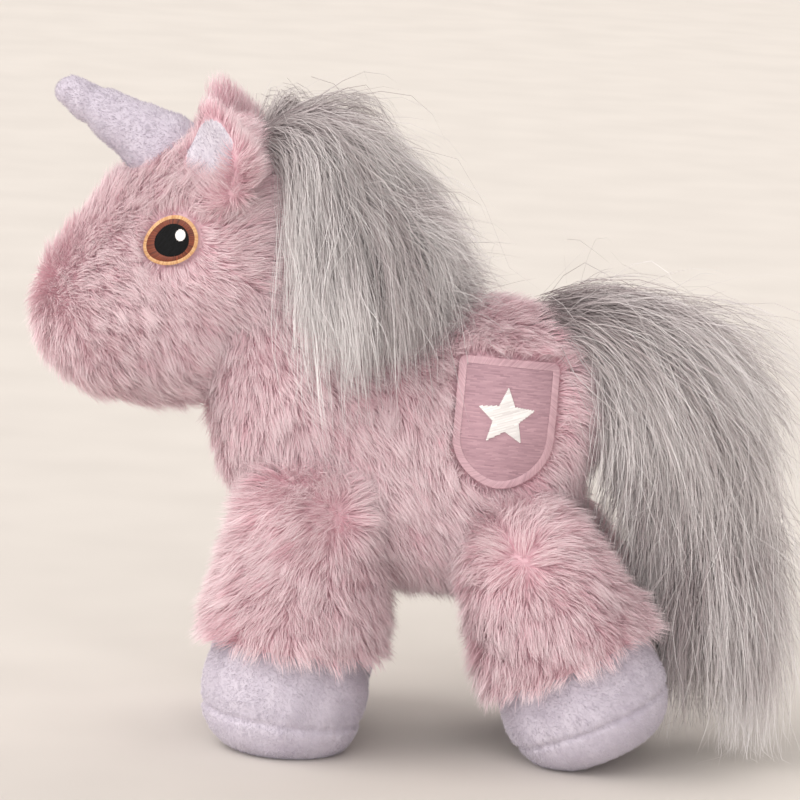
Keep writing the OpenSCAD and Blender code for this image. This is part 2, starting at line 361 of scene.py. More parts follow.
@dataclass(frozen=True)
class Stuffing:
    """Stuffs a skin: as cloth it swells under pressure from inside, held where it is sewn.

    Attributes:
        pressure: How hard the filling presses.
        cell: The size of the cloth's cells in millimetres.
        most: The furthest that the skin may move, in millimetres.
        frames: How many frames it swells for.
        scale: How much larger than life it is while it swells, which suits the solver.
    """

    pressure: float = 60.0
    cell: float = 5.0
    most: float = 2.4
    frames: int = 20
    scale: float = 10.0

    def swell(self, skin: Skin, sewn: Callable[[np.ndarray], np.ndarray] | None = None) -> Skin:
        """Args:
            skin: The skin, drawn slightly too small.
            sewn: Tells which points are held by a seam, if any.

        Returns:
            The stuffed skin, with as many vertices as before.
        """
        cloth = self.cut(skin)
        before = self.points(cloth.data)
        if sewn is not None:
            held = cloth.vertex_groups.new(name="held")
            held.add([int(k) for k in np.flatnonzero(sewn(before))], 1.0, "REPLACE")
        self.press(cloth, sewn is not None)
        scene = bpy.context.scene
        for frame in range(1, self.frames + 1):
            scene.frame_set(frame)
        done = cloth.evaluated_get(bpy.context.evaluated_depsgraph_get())
        moved = self.points(done.data) - before
        bpy.data.objects.remove(cloth)
        scene.frame_set(1)
        far = np.linalg.norm(moved, axis=1, keepdims=True)
        moved *= self.most * np.tanh(far / self.most) / np.maximum(far, 1e-6)
        tree = KDTree(len(before))
        for k, point in enumerate(before):
            tree.insert(point, k)
        tree.balance()
        shift = np.zeros_like(skin.verts)
        for row, vert in enumerate(skin.verts):
            near = tree.find_n(vert, 5)
            share = np.array([1.0 / (1.0 + hit[2] ** 2) for hit in near])
            shift[row] = share @ moved[[hit[1] for hit in near]] / share.sum()
        return with_normals(skin.verts + shift, skin.tris)

    def cut(self, skin: Skin) -> bpy.types.Object:
        """Makes the cloth: a copy of the skin in even cells, larger than life."""
        mesh = bpy.data.meshes.new("cloth")
        mesh.from_pydata(skin.verts * MM * self.scale, [], skin.tris.tolist())
        bm = bmesh.new()
        bm.from_mesh(mesh)
        bmesh.ops.remove_doubles(bm, verts=bm.verts, dist=0.05 * MM * self.scale)
        bmesh.ops.holes_fill(bm, edges=bm.edges, sides=0)
        bmesh.ops.recalc_face_normals(bm, faces=bm.faces)
        bm.to_mesh(mesh)
        bm.free()
        rough = bpy.data.objects.new("cloth", mesh)
        bpy.context.scene.collection.objects.link(rough)
        remesh = rough.modifiers.new("cells", "REMESH")
        remesh.mode = "VOXEL"
        remesh.voxel_size = self.cell * MM * self.scale
        bpy.context.view_layer.update()
        even = bpy.data.meshes.new_from_object(
            rough.evaluated_get(bpy.context.evaluated_depsgraph_get())
        )
        bpy.data.objects.remove(rough)
        cloth = bpy.data.objects.new("cloth", even)
        bpy.context.scene.collection.objects.link(cloth)
        return cloth

    def points(self, mesh: bpy.types.Mesh) -> np.ndarray:
        """A cloth's vertices in millimetres, at their true size."""
        flat = np.empty(len(mesh.vertices) * 3)
        mesh.vertices.foreach_get("co", flat)
        return flat.reshape(-1, 3) / (MM * self.scale)

    def press(self, cloth: bpy.types.Object, held: bool) -> None:
        """Gives the cloth its fabric and its filling."""
        modifier = cloth.modifiers.new("stuffing", "CLOTH")
        fabric = modifier.settings
        fabric.quality = 6
        fabric.mass = 0.3
        fabric.tension_stiffness = 25.0
        fabric.compression_stiffness = 25.0
        fabric.bending_stiffness = 2.0
        fabric.use_pressure = True
        fabric.uniform_pressure_force = self.pressure
        fabric.effector_weights.gravity = 0.0
        if held:
            fabric.vertex_group_mass = "held"
        modifier.collision_settings.use_collision = False


def take_apart(obj: bpy.types.Object) -> Skin:
    """Reads an object's final surface and removes the object."""
    bpy.context.view_layer.update()
    done = obj.evaluated_get(bpy.context.evaluated_depsgraph_get())
    mesh = bpy.data.meshes.new_from_object(done)
    skin = Skin.of_mesh(mesh)
    old = obj.data
    bpy.data.objects.remove(obj)
    bpy.data.meshes.remove(old)
    bpy.data.meshes.remove(mesh)
    return skin


# ---------------------------------------------------------------------------------------------
# Materials
# ---------------------------------------------------------------------------------------------


def to_linear(hex_colour: str) -> tuple[float, float, float, float]:
    """Turns an sRGB colour such as "#d9a5b3" into the linear RGBA that a shader takes."""
    raw = [int(hex_colour[i : i + 2], 16) / 255 for i in (1, 3, 5)]
    rgb = [c / 12.92 if c <= 0.04045 else ((c + 0.055) / 1.055) ** 2.4 for c in raw]
    return (rgb[0], rgb[1], rgb[2], 1.0)


def add_node(
    tree: bpy.types.NodeTree, kind: str, settings: dict | None = None, links: dict | None = None
) -> bpy.types.Node:
    """Adds one shader node.

    Args:
        tree: The node tree to add to.
        kind: The node's type, such as "ShaderNodeTexNoise".
        settings: Attributes of the node by name, or values of its inputs by name or number.
        links: Output sockets of other nodes, by the name or number of the input they feed.

    Returns:
        The new node.
    """
    made = tree.nodes.new(kind)
    for key, value in (settings or {}).items():
        if isinstance(key, str) and hasattr(made, key):
            setattr(made, key, value)
        else:
            made.inputs[key].default_value = value
    for key, socket in (links or {}).items():
        tree.links.new(socket, made.inputs[key])
    return made


def add_ramp(
    tree: bpy.types.NodeTree, stops: list[tuple[float, str]], factor: bpy.types.NodeSocket
) -> bpy.types.NodeSocket:
    """Adds a colour ramp.

    Args:
        tree: The node tree to add to.
        stops: Places from 0 to 1 and the sRGB colour at each.
        factor: The socket that picks the place.

    Returns:
        The ramp's colour output.
    """
    made = add_node(tree, "ShaderNodeValToRGB", links={"Fac": factor})
    ramp = made.color_ramp
    while len(ramp.elements) < len(stops):
        ramp.elements.new(0.5)
    for element, (place, colour) in zip(ramp.elements, stops, strict=True):
        element.position = place
        element.color = to_linear(colour)
    return made.outputs["Color"]


def blank_material(name: str, settings: dict) -> tuple[bpy.types.Material, bpy.types.Node]:
    """Makes a material with only a Principled shader in it.

    Args:
        name: The material's name.
        settings: Values of the shader's inputs that are the same all over.

    Returns:
        The material and its Principled node.
    """
    material = bpy.data.materials.new(name)
    material.use_nodes = True
    shader = material.node_tree.nodes["Principled BSDF"]
    for key, value in settings.items():
        shader.inputs[key].default_value = value
    return material, shader


@dataclass(frozen=True)
class DyedPile:
    """Polyester pile, knitted in and sheared or left long: each fibre is painted darker at its root as
    painted shade, and paler at its tip as painted highlight.

    The eye reads it as soft because the roots lie in shadow and the tips catch the light.
    A fibre's U picks its shade out of the dye lot, and its V runs from root to tip.
    """

    name: str
    # root is darker than middle as painted shade deep in the pile; tip is paler as painted highlight where
    # the tips catch the light.
    root: str
    middle: str
    tip: str
    deep: str
    pale: str
    roughness: float = 0.62
    sheen: float = 0.35

    def make(self) -> bpy.types.Material:
        """Builds the material."""
        material, shader = blank_material(
            self.name,
            {
                "Roughness": self.roughness,
                "Sheen Weight": self.sheen,
                "Sheen Roughness": 0.45,
                "Sheen Tint": to_linear(self.pale),
                "Specular IOR Level": 0.3,
            },
        )
        tree = material.node_tree
        where = add_node(tree, "ShaderNodeUVMap", {"uv_map": UV_NAME})
        split = add_node(tree, "ShaderNodeSeparateXYZ", links={0: where.outputs["UV"]})
        # Root to tip: the darker root is painted shade and the paler tip is painted highlight, both put in
        # the colour.
        along = add_ramp(
            tree,
            [(0.0, self.root), (0.35, self.middle), (1.0, self.tip)],
            split.outputs["Y"],
        )
        shade = add_ramp(
            tree,
            [(0.0, self.deep), (0.45, "#f0f0f0"), (1.0, "#ffffff")],
            split.outputs["X"],
        )
        dye_and_painted_shade = add_node(
            tree,
            "ShaderNodeMix",
            {"data_type": "RGBA", "blend_type": "MULTIPLY", 0: 1.0},
            {6: along, 7: shade},
        )
        tree.links.new(dye_and_painted_shade.outputs[2], shader.inputs["Base Color"])
        return material


@dataclass(frozen=True)
class Velour:
    """Knitted velour, a 1 mm pile cut level, with painted sheen: paler where the nap is taken to lie towards
    the light.

    A hand leaves strokes about 12 mm long in the nap, which are painted in the colour as cloudy light and
    dark sheen.
    The pile's own grain is 0.3 mm, drawn at 0.7 mm so that it shows.
    """

    name: str
    nap_dark: str
    nap_light: str
    edge: str

    def make(self) -> bpy.types.Material:
        """Builds the material."""
        material, shader = blank_material(
            self.name,
            {
                "Roughness": 0.85,
                "Sheen Weight": 0.5,
                "Sheen Roughness": 0.35,
                "Sheen Tint": to_linear(self.edge),
                "Specular IOR Level": 0.25,
            },
        )
        tree = material.node_tree
        place = add_node(tree, "ShaderNodeTexCoord").outputs["Object"]
        # Painted sheen: these strokes make the colour lighter and darker in clouds, mixed with the nap's own
        # grain.
        strokes = add_node(
            tree,
            "ShaderNodeTexNoise",
            {"Scale": 1.0 / (12 * MM), "Detail": 3.0, "Roughness": 0.5, "Distortion": 0.6},
            {"Vector": place},
        )
        grain = add_node(
            tree,
            "ShaderNodeTexNoise",
            {"Scale": 1.0 / (0.7 * MM), "Detail": 2.0, "Roughness": 0.7},
            {"Vector": place},
        )
        mixed = add_node(
            tree,
            "ShaderNodeMath",
            {"operation": "MULTIPLY_ADD", 1: 0.45},
            {0: grain.outputs["Fac"], 2: strokes.outputs["Fac"]},
        )
        colour = add_ramp(
            tree, [(0.5, self.nap_dark), (0.95, self.nap_light)], mixed.outputs["Value"]
        )
        bump = add_node(
            tree,
            "ShaderNodeBump",
            {"Strength": 0.22, "Distance": 0.2 * MM},
            {"Height": mixed.outputs["Value"]},
        )
        tree.links.new(colour, shader.inputs["Base Color"])
        tree.links.new(bump.outputs["Normal"], shader.inputs["Normal"])
        return material


@dataclass(frozen=True)
class SatinThread:
    """Rayon embroidery thread laid side by side: a silky lustre that changes with its twist.

    A stitch's U picks its shade, and its V runs along the stitch.
    """

    name: str
    dark: str
    light: str
    roughness: float = 0.38
    lustre: float = 0.4

    def make(self) -> bpy.types.Material:
        """Builds the material."""
        material, shader = blank_material(
            self.name, {"Roughness": self.roughness, "Specular IOR Level": self.lustre}
        )
        tree = material.node_tree
        where = add_node(tree, "ShaderNodeUVMap", {"uv_map": UV_NAME})
        split = add_node(tree, "ShaderNodeSeparateXYZ", links={0: where.outputs["UV"]})
        colour = add_ramp(tree, [(0.0, self.dark), (1.0, self.light)], split.outputs["X"])
        tree.links.new(colour, shader.inputs["Base Color"])
        return material


@dataclass(frozen=True)
class LooseFibre:
    """Carded polyester filling: matt white tangles, painted grey in hollows a few mm across as painted
    shade.
    """

    name: str = "filling_carded_polyester"
    hollow: str = "#cfccc6"
    tuft: str = "#fbfaf7"

    def make(self) -> bpy.types.Material:
        """Builds the material."""
        material, shader = blank_material(
            self.name, {"Roughness": 0.95, "Sheen Weight": 0.4, "Specular IOR Level": 0.2}
        )
        tree = material.node_tree
        place = add_node(tree, "ShaderNodeTexCoord").outputs["Object"]
        tufts = add_node(
            tree,
            "ShaderNodeTexNoise",
            {"Scale": 1.0 / (5 * MM), "Detail": 6.0, "Roughness": 0.7, "Distortion": 1.5},
            {"Vector": place},
        )
        # Painted shade: the colour turns greyer where the bump is lowest, in the hollows.
        colour = add_ramp(tree, [(0.3, self.hollow), (0.7, self.tuft)], tufts.outputs["Fac"])
        bump = add_node(
            tree,
            "ShaderNodeBump",
            {"Strength": 0.8, "Distance": 1.5 * MM},
            {"Height": tufts.outputs["Fac"]},
        )
        tree.links.new(colour, shader.inputs["Base Color"])
        tree.links.new(bump.outputs["Normal"], shader.inputs["Normal"])
        return material


@dataclass(frozen=True)
class PaintedBoard:
    """A floor of smooth board painted matt off-white: plain, with only a breath of mottling."""

    name: str = "floor_painted_board"
    shade: str = "#d2cdc8"
    light: str = "#d7d2cd"

    def make(self) -> bpy.types.Material:
        """Builds the material."""
        material, shader = blank_material(self.name, {"Roughness": 0.75, "Specular IOR Level": 0.3})
        tree = material.node_tree
        place = add_node(tree, "ShaderNodeTexCoord").outputs["Object"]
        cloud = add_node(
            tree,
            "ShaderNodeTexNoise",
            {"Scale": 1.0 / (60 * MM), "Detail": 1.0},
            {"Vector": place},
        )
        colour = add_ramp(tree, [(0.3, self.shade), (0.7, self.light)], cloud.outputs["Fac"])
        tree.links.new(colour, shader.inputs["Base Color"])
        return material


class Finishes:
    """Every material of the toy, made once."""

    def __init__(self) -> None:
        """Builds the materials."""
        # In each pile, the darker root colour is painted shade and the paler tip colour is painted
        # highlight.
        self.pink = DyedPile(
            "fur_pink_polyester_pile", "#e5bfc9", "#f4d3db", "#fff2f5", "#f0d8df", "#fffafb"
        ).make()
        self.hair = DyedPile(
            "hair_grey_long_polyester_pile",
            "#94888a",
            "#d0c8c9",
            "#f6f3f3",
            "#c4babc",
            "#fdfbfb",
            roughness=0.5,
            sheen=0.25,
        ).make()
        self.nap = DyedPile(
            "velour_nap_lilac", "#c8c1cd", "#cec7d3", "#dad4df", "#f0edf2", "#ffffff", sheen=0.5
        ).make()
        self.velour = Velour("velour_lilac", "#beb6c4", "#d2cbd7", "#f4f1f6").make()
        self.velour_white = Velour("velour_ear_lining", "#c9c3ce", "#dcd7e0", "#f8f6fa").make()
        self.rim = SatinThread("thread_cream_rayon", "#b87f50", "#e0b888").make()
        self.iris = SatinThread("thread_rust_rayon", "#45160a", "#8a3f22").make()
        self.pupil = SatinThread("thread_black_rayon", "#020203", "#0e0f12", 0.6, 0.18).make()
        self.white = SatinThread("thread_white_rayon", "#dcd7d6", "#fbf9f8").make()
        self.rose = SatinThread("thread_rose_rayon", "#a98892", "#c8a4ae", 0.55, 0.2).make()
        self.plum = SatinThread("thread_plum_rayon", "#bd99a3", "#dcbac2", 0.5, 0.25).make()
        self.filling = LooseFibre().make()
        self.floor = PaintedBoard().make()


# ---------------------------------------------------------------------------------------------
# Pile: fibres that grow out of a skin
# ---------------------------------------------------------------------------------------------


@dataclass(frozen=True)
class Pile:
    """How a pile fabric's fibres stand.

    Attributes:
        length: Length of a fibre in millimetres.
        spread: How much that length varies, as a share of it.
        width: Width of a fibre at its root, in millimetres: several real fibres stuck together.
        lift: How far a fibre stands up from the skin, in degrees.
        tuft: Distance between neighbouring tufts in millimetres.
        gather: How far a fibre's tip is drawn to its tuft's tip, from 0 to 1.
        stray: How far directions vary from fibre to fibre.
        per_mm2: Fibres on a square millimetre of skin.
        segments: Straight stretches in a fibre.
    """

    length: float
    spread: float
    width: float
    lift: float
    tuft: float
    gather: float
    stray: float
    per_mm2: float
    segments: int = 2


FUR = Pile(9.5, 0.22, 0.2, 44.0, 4.2, 0.5, 0.26, 3.4)
FACE_FUR = Pile(8.8, 0.22, 0.2, 42.0, 4.0, 0.46, 0.26, 3.7)
LEG_FUR = Pile(10.0, 0.22, 0.2, 48.0, 4.6, 0.5, 0.28, 3.4)
EAR_FUR = Pile(8.0, 0.24, 0.2, 44.0, 3.4, 0.42, 0.28, 3.8)
NAP = Pile(1.0, 0.25, 0.2, 42.0, 1.6, 0.3, 0.3, 4.0, 1)


class Clearing:
    """A place where the pile is parted or trimmed round something sewn on the skin."""

    def __init__(self, at: np.ndarray, radius: float, reach: float, keep: float) -> None:
        """Sets the place.

        Args:
            at: The middle, in millimetres.
            radius: No fibre grows nearer to the middle than this.
            reach: How far beyond the radius the pile is parted.
            keep: The length that is left at the radius, as a share.
        """
        self.at = at
        self.radius = radius
        self.reach = reach
        self.keep = keep

    def away(self, p: np.ndarray) -> tuple[np.ndarray, np.ndarray]:
        """How far points are outside the clearing, and the way out of it."""
        out = p - self.at
        return np.linalg.norm(out, axis=1) - self.radius, unit(out)


class Buried(Clearing):
    """The stretch of a skin that another stuffed form covers, where no pile is needed."""

    def __init__(self, lumps: list[Lump], cover: float) -> None:
        """Sets the covered stretch.

        Args:
            lumps: What covers it.
            cover: How deep inside a lump a point counts as covered, in millimetres.
        """
        super().__init__(lumps[0].at, 0.0, 0.01, 1.0)
        self.lumps = lumps
        self.cover = cover

    def away(self, p: np.ndarray) -> tuple[np.ndarray, np.ndarray]:
        """Less than nothing for points that are covered, and far for all others."""
        deep = np.zeros(len(p), bool)
        for lump in self.lumps:
            deep |= np.linalg.norm(p - lump.at, axis=1) < lump.r - self.cover
        return np.where(deep, -1.0, 1e3), np.zeros_like(p)


def scatter(
    skin: Skin, count: int, rng: np.random.Generator
) -> tuple[np.ndarray, np.ndarray]:
    """Picks points all over a skin.

    Args:
        skin: The surface.
        count: How many points.
        rng: The source of chance.

    Returns:
        The points and the skin's normals there.
    """
    a, b, c = (skin.verts[skin.tris[:, k]] for k in range(3))
    area = np.linalg.norm(np.cross(b - a, c - a), axis=1)
    pick = rng.choice(len(area), size=count, p=area / area.sum())
    u, v = rng.random(count), rng.random(count)
    over = u + v > 1
    u[over], v[over] = 1 - u[over], 1 - v[over]
    w = np.column_stack([1 - u - v, u, v])
    corners = skin.tris[pick]
    p = np.einsum("ij,ijk->ik", w, skin.verts[corners])
    n = unit(np.einsum("ij,ijk->ik", w, skin.normals[corners]))
    return p, n


def skin_area(skin: Skin) -> float:
    """The skin's area in square millimetres."""
    a, b, c = (skin.verts[skin.tris[:, k]] for k in range(3))
    return float(np.linalg.norm(np.cross(b - a, c - a), axis=1).sum() / 2)


def ribbons(
    soup: Soup,
    path: np.ndarray,
    across: np.ndarray,
    width: np.ndarray,
    tone: np.ndarray,
    slot: int = 0,
) -> None:
    """Adds one tapered ribbon for each path.

    Args:
        soup: Where the faces go.
        path: Points of each fibre from root to tip: fibres by points by 3, in millimetres.
        across: A unit vector across each fibre.
        width: Each fibre's width at its root.
        tone: Each fibre's shade, from 0 to 1, which becomes its U.
        slot: Which of the piece's materials the fibres take.
    """
    count, points = path.shape[:2]
    last = points - 1
    share = np.linspace(0, 1, points)
    half = width[:, None] * 0.5 * (1 - 0.55 * share[None, :] ** 2)
    offset = across[:, None, :] * half[:, :, None]
    left, right = path - offset, path + offset
    rows = np.concatenate(
        [np.stack([left[:, :last], right[:, :last]], axis=2).reshape(count, -1, 3), path[:, last:]],
        axis=1,
    )
    per = 2 * last + 1
    u = np.clip(tone * 0.94, 0, 0.94)[:, None] + np.tile([0.0, 0.05], last)[None, :]
    u = np.concatenate([u, u[:, :1] + 0.025], axis=1)
    v = np.broadcast_to(np.append(np.repeat(share[:last], 2), 1.0), (count, per))
    start = (np.arange(count) * per)[:, None]
    faces = [start + [2 * k, 2 * k + 1, 2 * k + 3, 2 * k + 2] for k in range(last - 1)]
    faces.append(start + [2 * last - 2, 2 * last - 1, 2 * last])
    soup.add(
        rows.reshape(-1, 3), faces, np.stack([u, v], axis=2).reshape(-1, 2), slot
    )


def grow_pile(
    soup: Soup,
    skin: Skin,
    pile: Pile,
    flow: "Flow",
    clearings: list[Clearing],
    rng: np.random.Generator,
    slot: int = 0,
) -> None:
    """Grows fibres out of a skin, in tufts.

    Args:
        soup: Where the faces go.
        skin: The surface that they are rooted in.
        pile: How they stand.
        flow: Which way they lie.
        clearings: Where they are parted.
        rng: The source of chance.
        slot: Which of the piece's materials they take.
    """
    count = int(skin_area(skin) * pile.per_mm2)
    p, n = scatter(skin, count, rng)
    size = np.ones(count)
    lie = flow.at(p, n)
    for clearing in clearings:
        far, out = clearing.away(p)
        keep = far > 0
        p, n, size, lie, far, out = (x[keep] for x in (p, n, size, lie, far, out))
        near = 1 - smooth_step(0, clearing.reach, far)
        lie = lie * (1 - near[:, None]) + out * near[:, None] * 1.4
        size = size * (1 - near * (1 - clearing.keep))
    count = len(p)
    lie = unit(tangent(lie + rng.normal(size=(count, 3)) * pile.stray, n))
    lift = np.radians(pile.lift + rng.normal(size=count) * 9)[:, None] * flow.lift_at(p)[:, None]
    way = unit(lie * np.cos(lift) + n * np.sin(lift))
    length = pile.length * size * flow.length_at(p) * (
            1 + pile.spread * np.clip(rng.normal(size=count), -2.0, 1.5)
        )
    length = np.clip(length, 0.3 * pile.length * size, None)[:, None]
    tip = p + way * length
    middle = p + unit(way + n * 0.55) * length * 0.5

    # A tuft's fibres meet near one tip, and it is longer or shorter than its neighbours as one.
    tufts = rng.choice(count, size=max(1, int(count / (pile.per_mm2 * pile.tuft**2))), replace=False)
    tree = KDTree(len(tufts))
    for k, row in enumerate(tufts):
        tree.insert(p[row], k)
    tree.balance()
    mine = np.array([tree.find(q)[1] for q in p])
    lead = tufts[mine]
    reach = rng.uniform(0.85, 1.2, len(tufts))[mine][:, None]
    goal = p[lead] + (tip[lead] - p[lead]) * reach
    pull = (pile.gather * rng.uniform(0.5, 1.15, count))[:, None]
    tip = tip + (goal + (p - p[lead]) * 0.22 - tip) * pull
    middle = middle + ((p[lead] + (goal - p[lead]) * 0.5) + (p - p[lead]) * 0.7 - middle) * pull * 0.35

    share = np.linspace(0, 1, pile.segments + 1)[None, :, None]
    bend = 2 * middle - 0.5 * (p + tip)
    path = (
        p[:, None] * (1 - share) ** 2
        + 2 * bend[:, None] * share * (1 - share)
        + tip[:, None] * share**2
    )
    across = unit(np.cross(tip - p, n) + rng.normal(size=(count, 3)) * 0.35 * length)
    width = pile.width * rng.uniform(0.75, 1.25, count)
    tone = np.clip(
        0.5 + 0.16 * rng.normal(size=len(tufts))[mine] + 0.14 * rng.normal(size=count), 0, 1
    )
    ribbons(soup, path, across, width, tone, slot)


class Flow:
    """Which way a pile lies: brushed one way, with whorls where it turns outwards."""

    def __init__(
        self,
        brush: tuple[float, float, float],
        whorls: list[tuple[np.ndarray, float]] | None = None,
        swirl: float = 0.35,
        seed: int = 1,
        above: tuple[tuple[float, float, float], float, float] | None = None,
    ) -> None:
        """Sets the flow.

        Args:
            brush: The way that the whole skin is brushed.
            whorls: Middles of whorls in millimetres, and how far each one reaches.
            swirl: How much the pile wanders.
            seed: Picks the wandering.
            above: Another brush for what lies high, and the heights where it starts and takes over.
        """
        self.brush = unit(np.array(brush, float))
        self.above = above
        self.whorls = whorls or []
        self.swirl = swirl
        self.seed = seed

    def at(self, p: np.ndarray, n: np.ndarray) -> np.ndarray:
        """The way that the pile lies at points of a skin.

        Args:
            p: Points in millimetres.
            n: The skin's normals there.

        Returns:
            One vector a row, not of unit length.
        """
        way = np.broadcast_to(self.brush, p.shape)
        if self.above:
            share = smooth_step(self.above[1], self.above[2], p[:, 2])[:, None]
            way = way * (1 - share) + unit(np.array(self.above[0])) * share
        way = way + ripple(p, 26.0, self.seed) * self.swirl
        way = tangent(way, n)
        for middle, reach in self.whorls:
            out = p - middle
            far = np.linalg.norm(out, axis=1, keepdims=True)
            share = np.exp(-((far / reach) ** 2))
            way = way * (1 - share) + tangent(unit(out), n) * share * 1.3
        return way

    def lift_at(self, p: np.ndarray) -> np.ndarray:
        """How far the pile stands up at points, as a share of its usual lift."""
        return 1.0 + 0.22 * ripple(p, 18.0, self.seed + 50)[:, 0]

    def length_at(self, p: np.ndarray) -> np.ndarray:
        """How long the pile is at points, as a share of its usual length."""
        return 1.0 + 0.1 * ripple(p, 14.0, self.seed + 90)[:, 1]


# ---------------------------------------------------------------------------------------------
# Embroidery: stitches laid on a skin inside an outline
# ---------------------------------------------------------------------------------------------


def even_steps(points: np.ndarray, count: int) -> np.ndarray:
    """Points at even distances round a closed outline.

    Args:
        points: The outline's corners, one a row.
        count: How many points to give.

    Returns:
        The points, starting at the first corner.
    """
    ring = np.vstack([points, points[:1]])
    far = np.concatenate([[0], np.cumsum(np.linalg.norm(np.diff(ring, axis=0), axis=1))])
    want = np.linspace(0, far[-1], count, endpoint=False)
    return np.column_stack([np.interp(want, far, ring[:, k]) for k in range(2)])


def egg_outline(length: float, breadth: float, tilt: float, count: int = 170) -> np.ndarray:
    """An egg with its blunt end at the right, turned up by a few degrees.

    Args:
        length: Its length in millimetres.
        breadth: Its breadth in millimetres.
        tilt: How far its blunt end is turned up, in degrees.
        count: How many points.

    Returns:
        Points round it, anticlockwise.
    """
    angle = np.linspace(0, 2 * math.pi, 4 * count, endpoint=False)
    x = length / 2 * np.cos(angle)
    y = breadth / 2 * np.sin(angle) * (1 + 0.07 * np.cos(angle))
    c, s = math.cos(math.radians(tilt)), math.sin(math.radians(tilt))
    return even_steps(np.column_stack([x * c - y * s, x * s + y * c]), count)


def shield_outline(width: float, height: float, count: int = 260) -> np.ndarray:
    """A shield with square shoulders, straight sides and a rounded point.

    Args:
        width: Its width in millimetres.
        height: Its height in millimetres.
        count: How many points.

    Returns:
        Points round it, anticlockwise.
    """
    w, h, shoulder, bowl = width / 2, height / 2, 2.5, 0.4 * height
    corner = np.radians(np.linspace(0, 90, 8))
    right = np.column_stack(
        [w - shoulder + shoulder * np.cos(corner), h - shoulder + shoulder * np.sin(corner)]
    )
    left = right[::-1] * [-1, 1]
    turn = np.radians(np.linspace(180, 360, 40))
    sweep = np.abs(np.cos(turn)) ** 1.15 * np.sign(np.cos(turn))
    bottom = np.column_stack([w * sweep, -h + bowl + bowl * np.sin(turn)])
    return even_steps(np.vstack([right, left, bottom]), count)


def star_outline(reach: float, count: int = 120) -> np.ndarray:
    """A five-pointed star, point up, with its points this far from the middle."""
    angle = np.radians(90 + 36 * np.arange(10))
    far = np.where(np.arange(10) % 2 == 0, reach, reach * 0.46)
    return even_steps(np.column_stack([far * np.cos(angle), far * np.sin(angle)]), count)


def ring_outline(radius: float, count: int = 60) -> np.ndarray:
    """A circle's points, anticlockwise."""
    angle = np.linspace(0, 2 * math.pi, count, endpoint=False)
    return radius * np.column_stack([np.cos(angle), np.sin(angle)])


def inset(outline: np.ndarray, by: float) -> np.ndarray:
    """An anticlockwise outline drawn in by this many millimetres, point for point."""
    along = np.roll(outline, -1, axis=0) - np.roll(outline, 1, axis=0)
    along = along / np.linalg.norm(along, axis=1, keepdims=True)
    return outline + np.column_stack([-along[:, 1], along[:, 0]]) * by


def inside(points: np.ndarray, outline: np.ndarray) -> np.ndarray:
    """Which of the points lie inside a closed outline."""
    a, b = outline, np.roll(outline, -1, axis=0)
    x, y = points[:, :1], points[:, 1:]
    crosses = (a[:, 1] > y) != (b[:, 1] > y)
    rise = np.where(b[:, 1] == a[:, 1], 1e-9, b[:, 1] - a[:, 1])
    at = a[:, 0] + (y - a[:, 1]) / rise * (b[:, 0] - a[:, 0])
    return (np.sum(crosses & (x < at), axis=1) % 2).astype(bool)


@dataclass
class Plot:
    """A flat drawing plane held in front of a skin, for sewing on it.

    Attributes:
        seat: The plane's origin in millimetres.
        out: The unit vector from the skin to the eye of someone who looks at the drawing.
        skin: The surface that the drawing is sewn to.
        roll: How far the drawing is turned anticlockwise, in degrees.
    """

    seat: np.ndarray
    out: np.ndarray
    skin: Skin
    roll: float = 0.0

    def __post_init__(self) -> None:
        """Works out the plane's axes and the skin's search tree."""
        self.out = unit(self.out)
        right = unit(np.cross(UP, self.out))
        up = np.cross(self.out, right)
        c, s = math.cos(math.radians(self.roll)), math.sin(math.radians(self.roll))
        self.right, self.up = right * c + up * s, up * c - right * s
        self.tree = self.skin.tree()

    def flat(self, p: np.ndarray) -> np.ndarray:
        """Points in millimetres as they are seen on the plane."""
        return np.column_stack([(p - self.seat) @ self.right, (p - self.seat) @ self.up])

    def sewn(self, flat: np.ndarray, lift: np.ndarray | float) -> np.ndarray:
        """Carries points of the drawing to the skin.

        Args:
            flat: Points on the plane, one a row.
            lift: How far each one stands above the skin in millimetres.

        Returns:
            The points in space.
        """
        start = self.seat + flat[:, :1] * self.right + flat[:, 1:] * self.up + self.out * 40
        hits = np.empty_like(start)
        way = Vector(-self.out)
        for k, s in enumerate(start):
            found = self.tree.ray_cast(Vector(s), way)[0]
            hits[k] = s - self.out * 40 if found is None else found
        return hits + self.out * np.reshape(lift, (-1, 1))


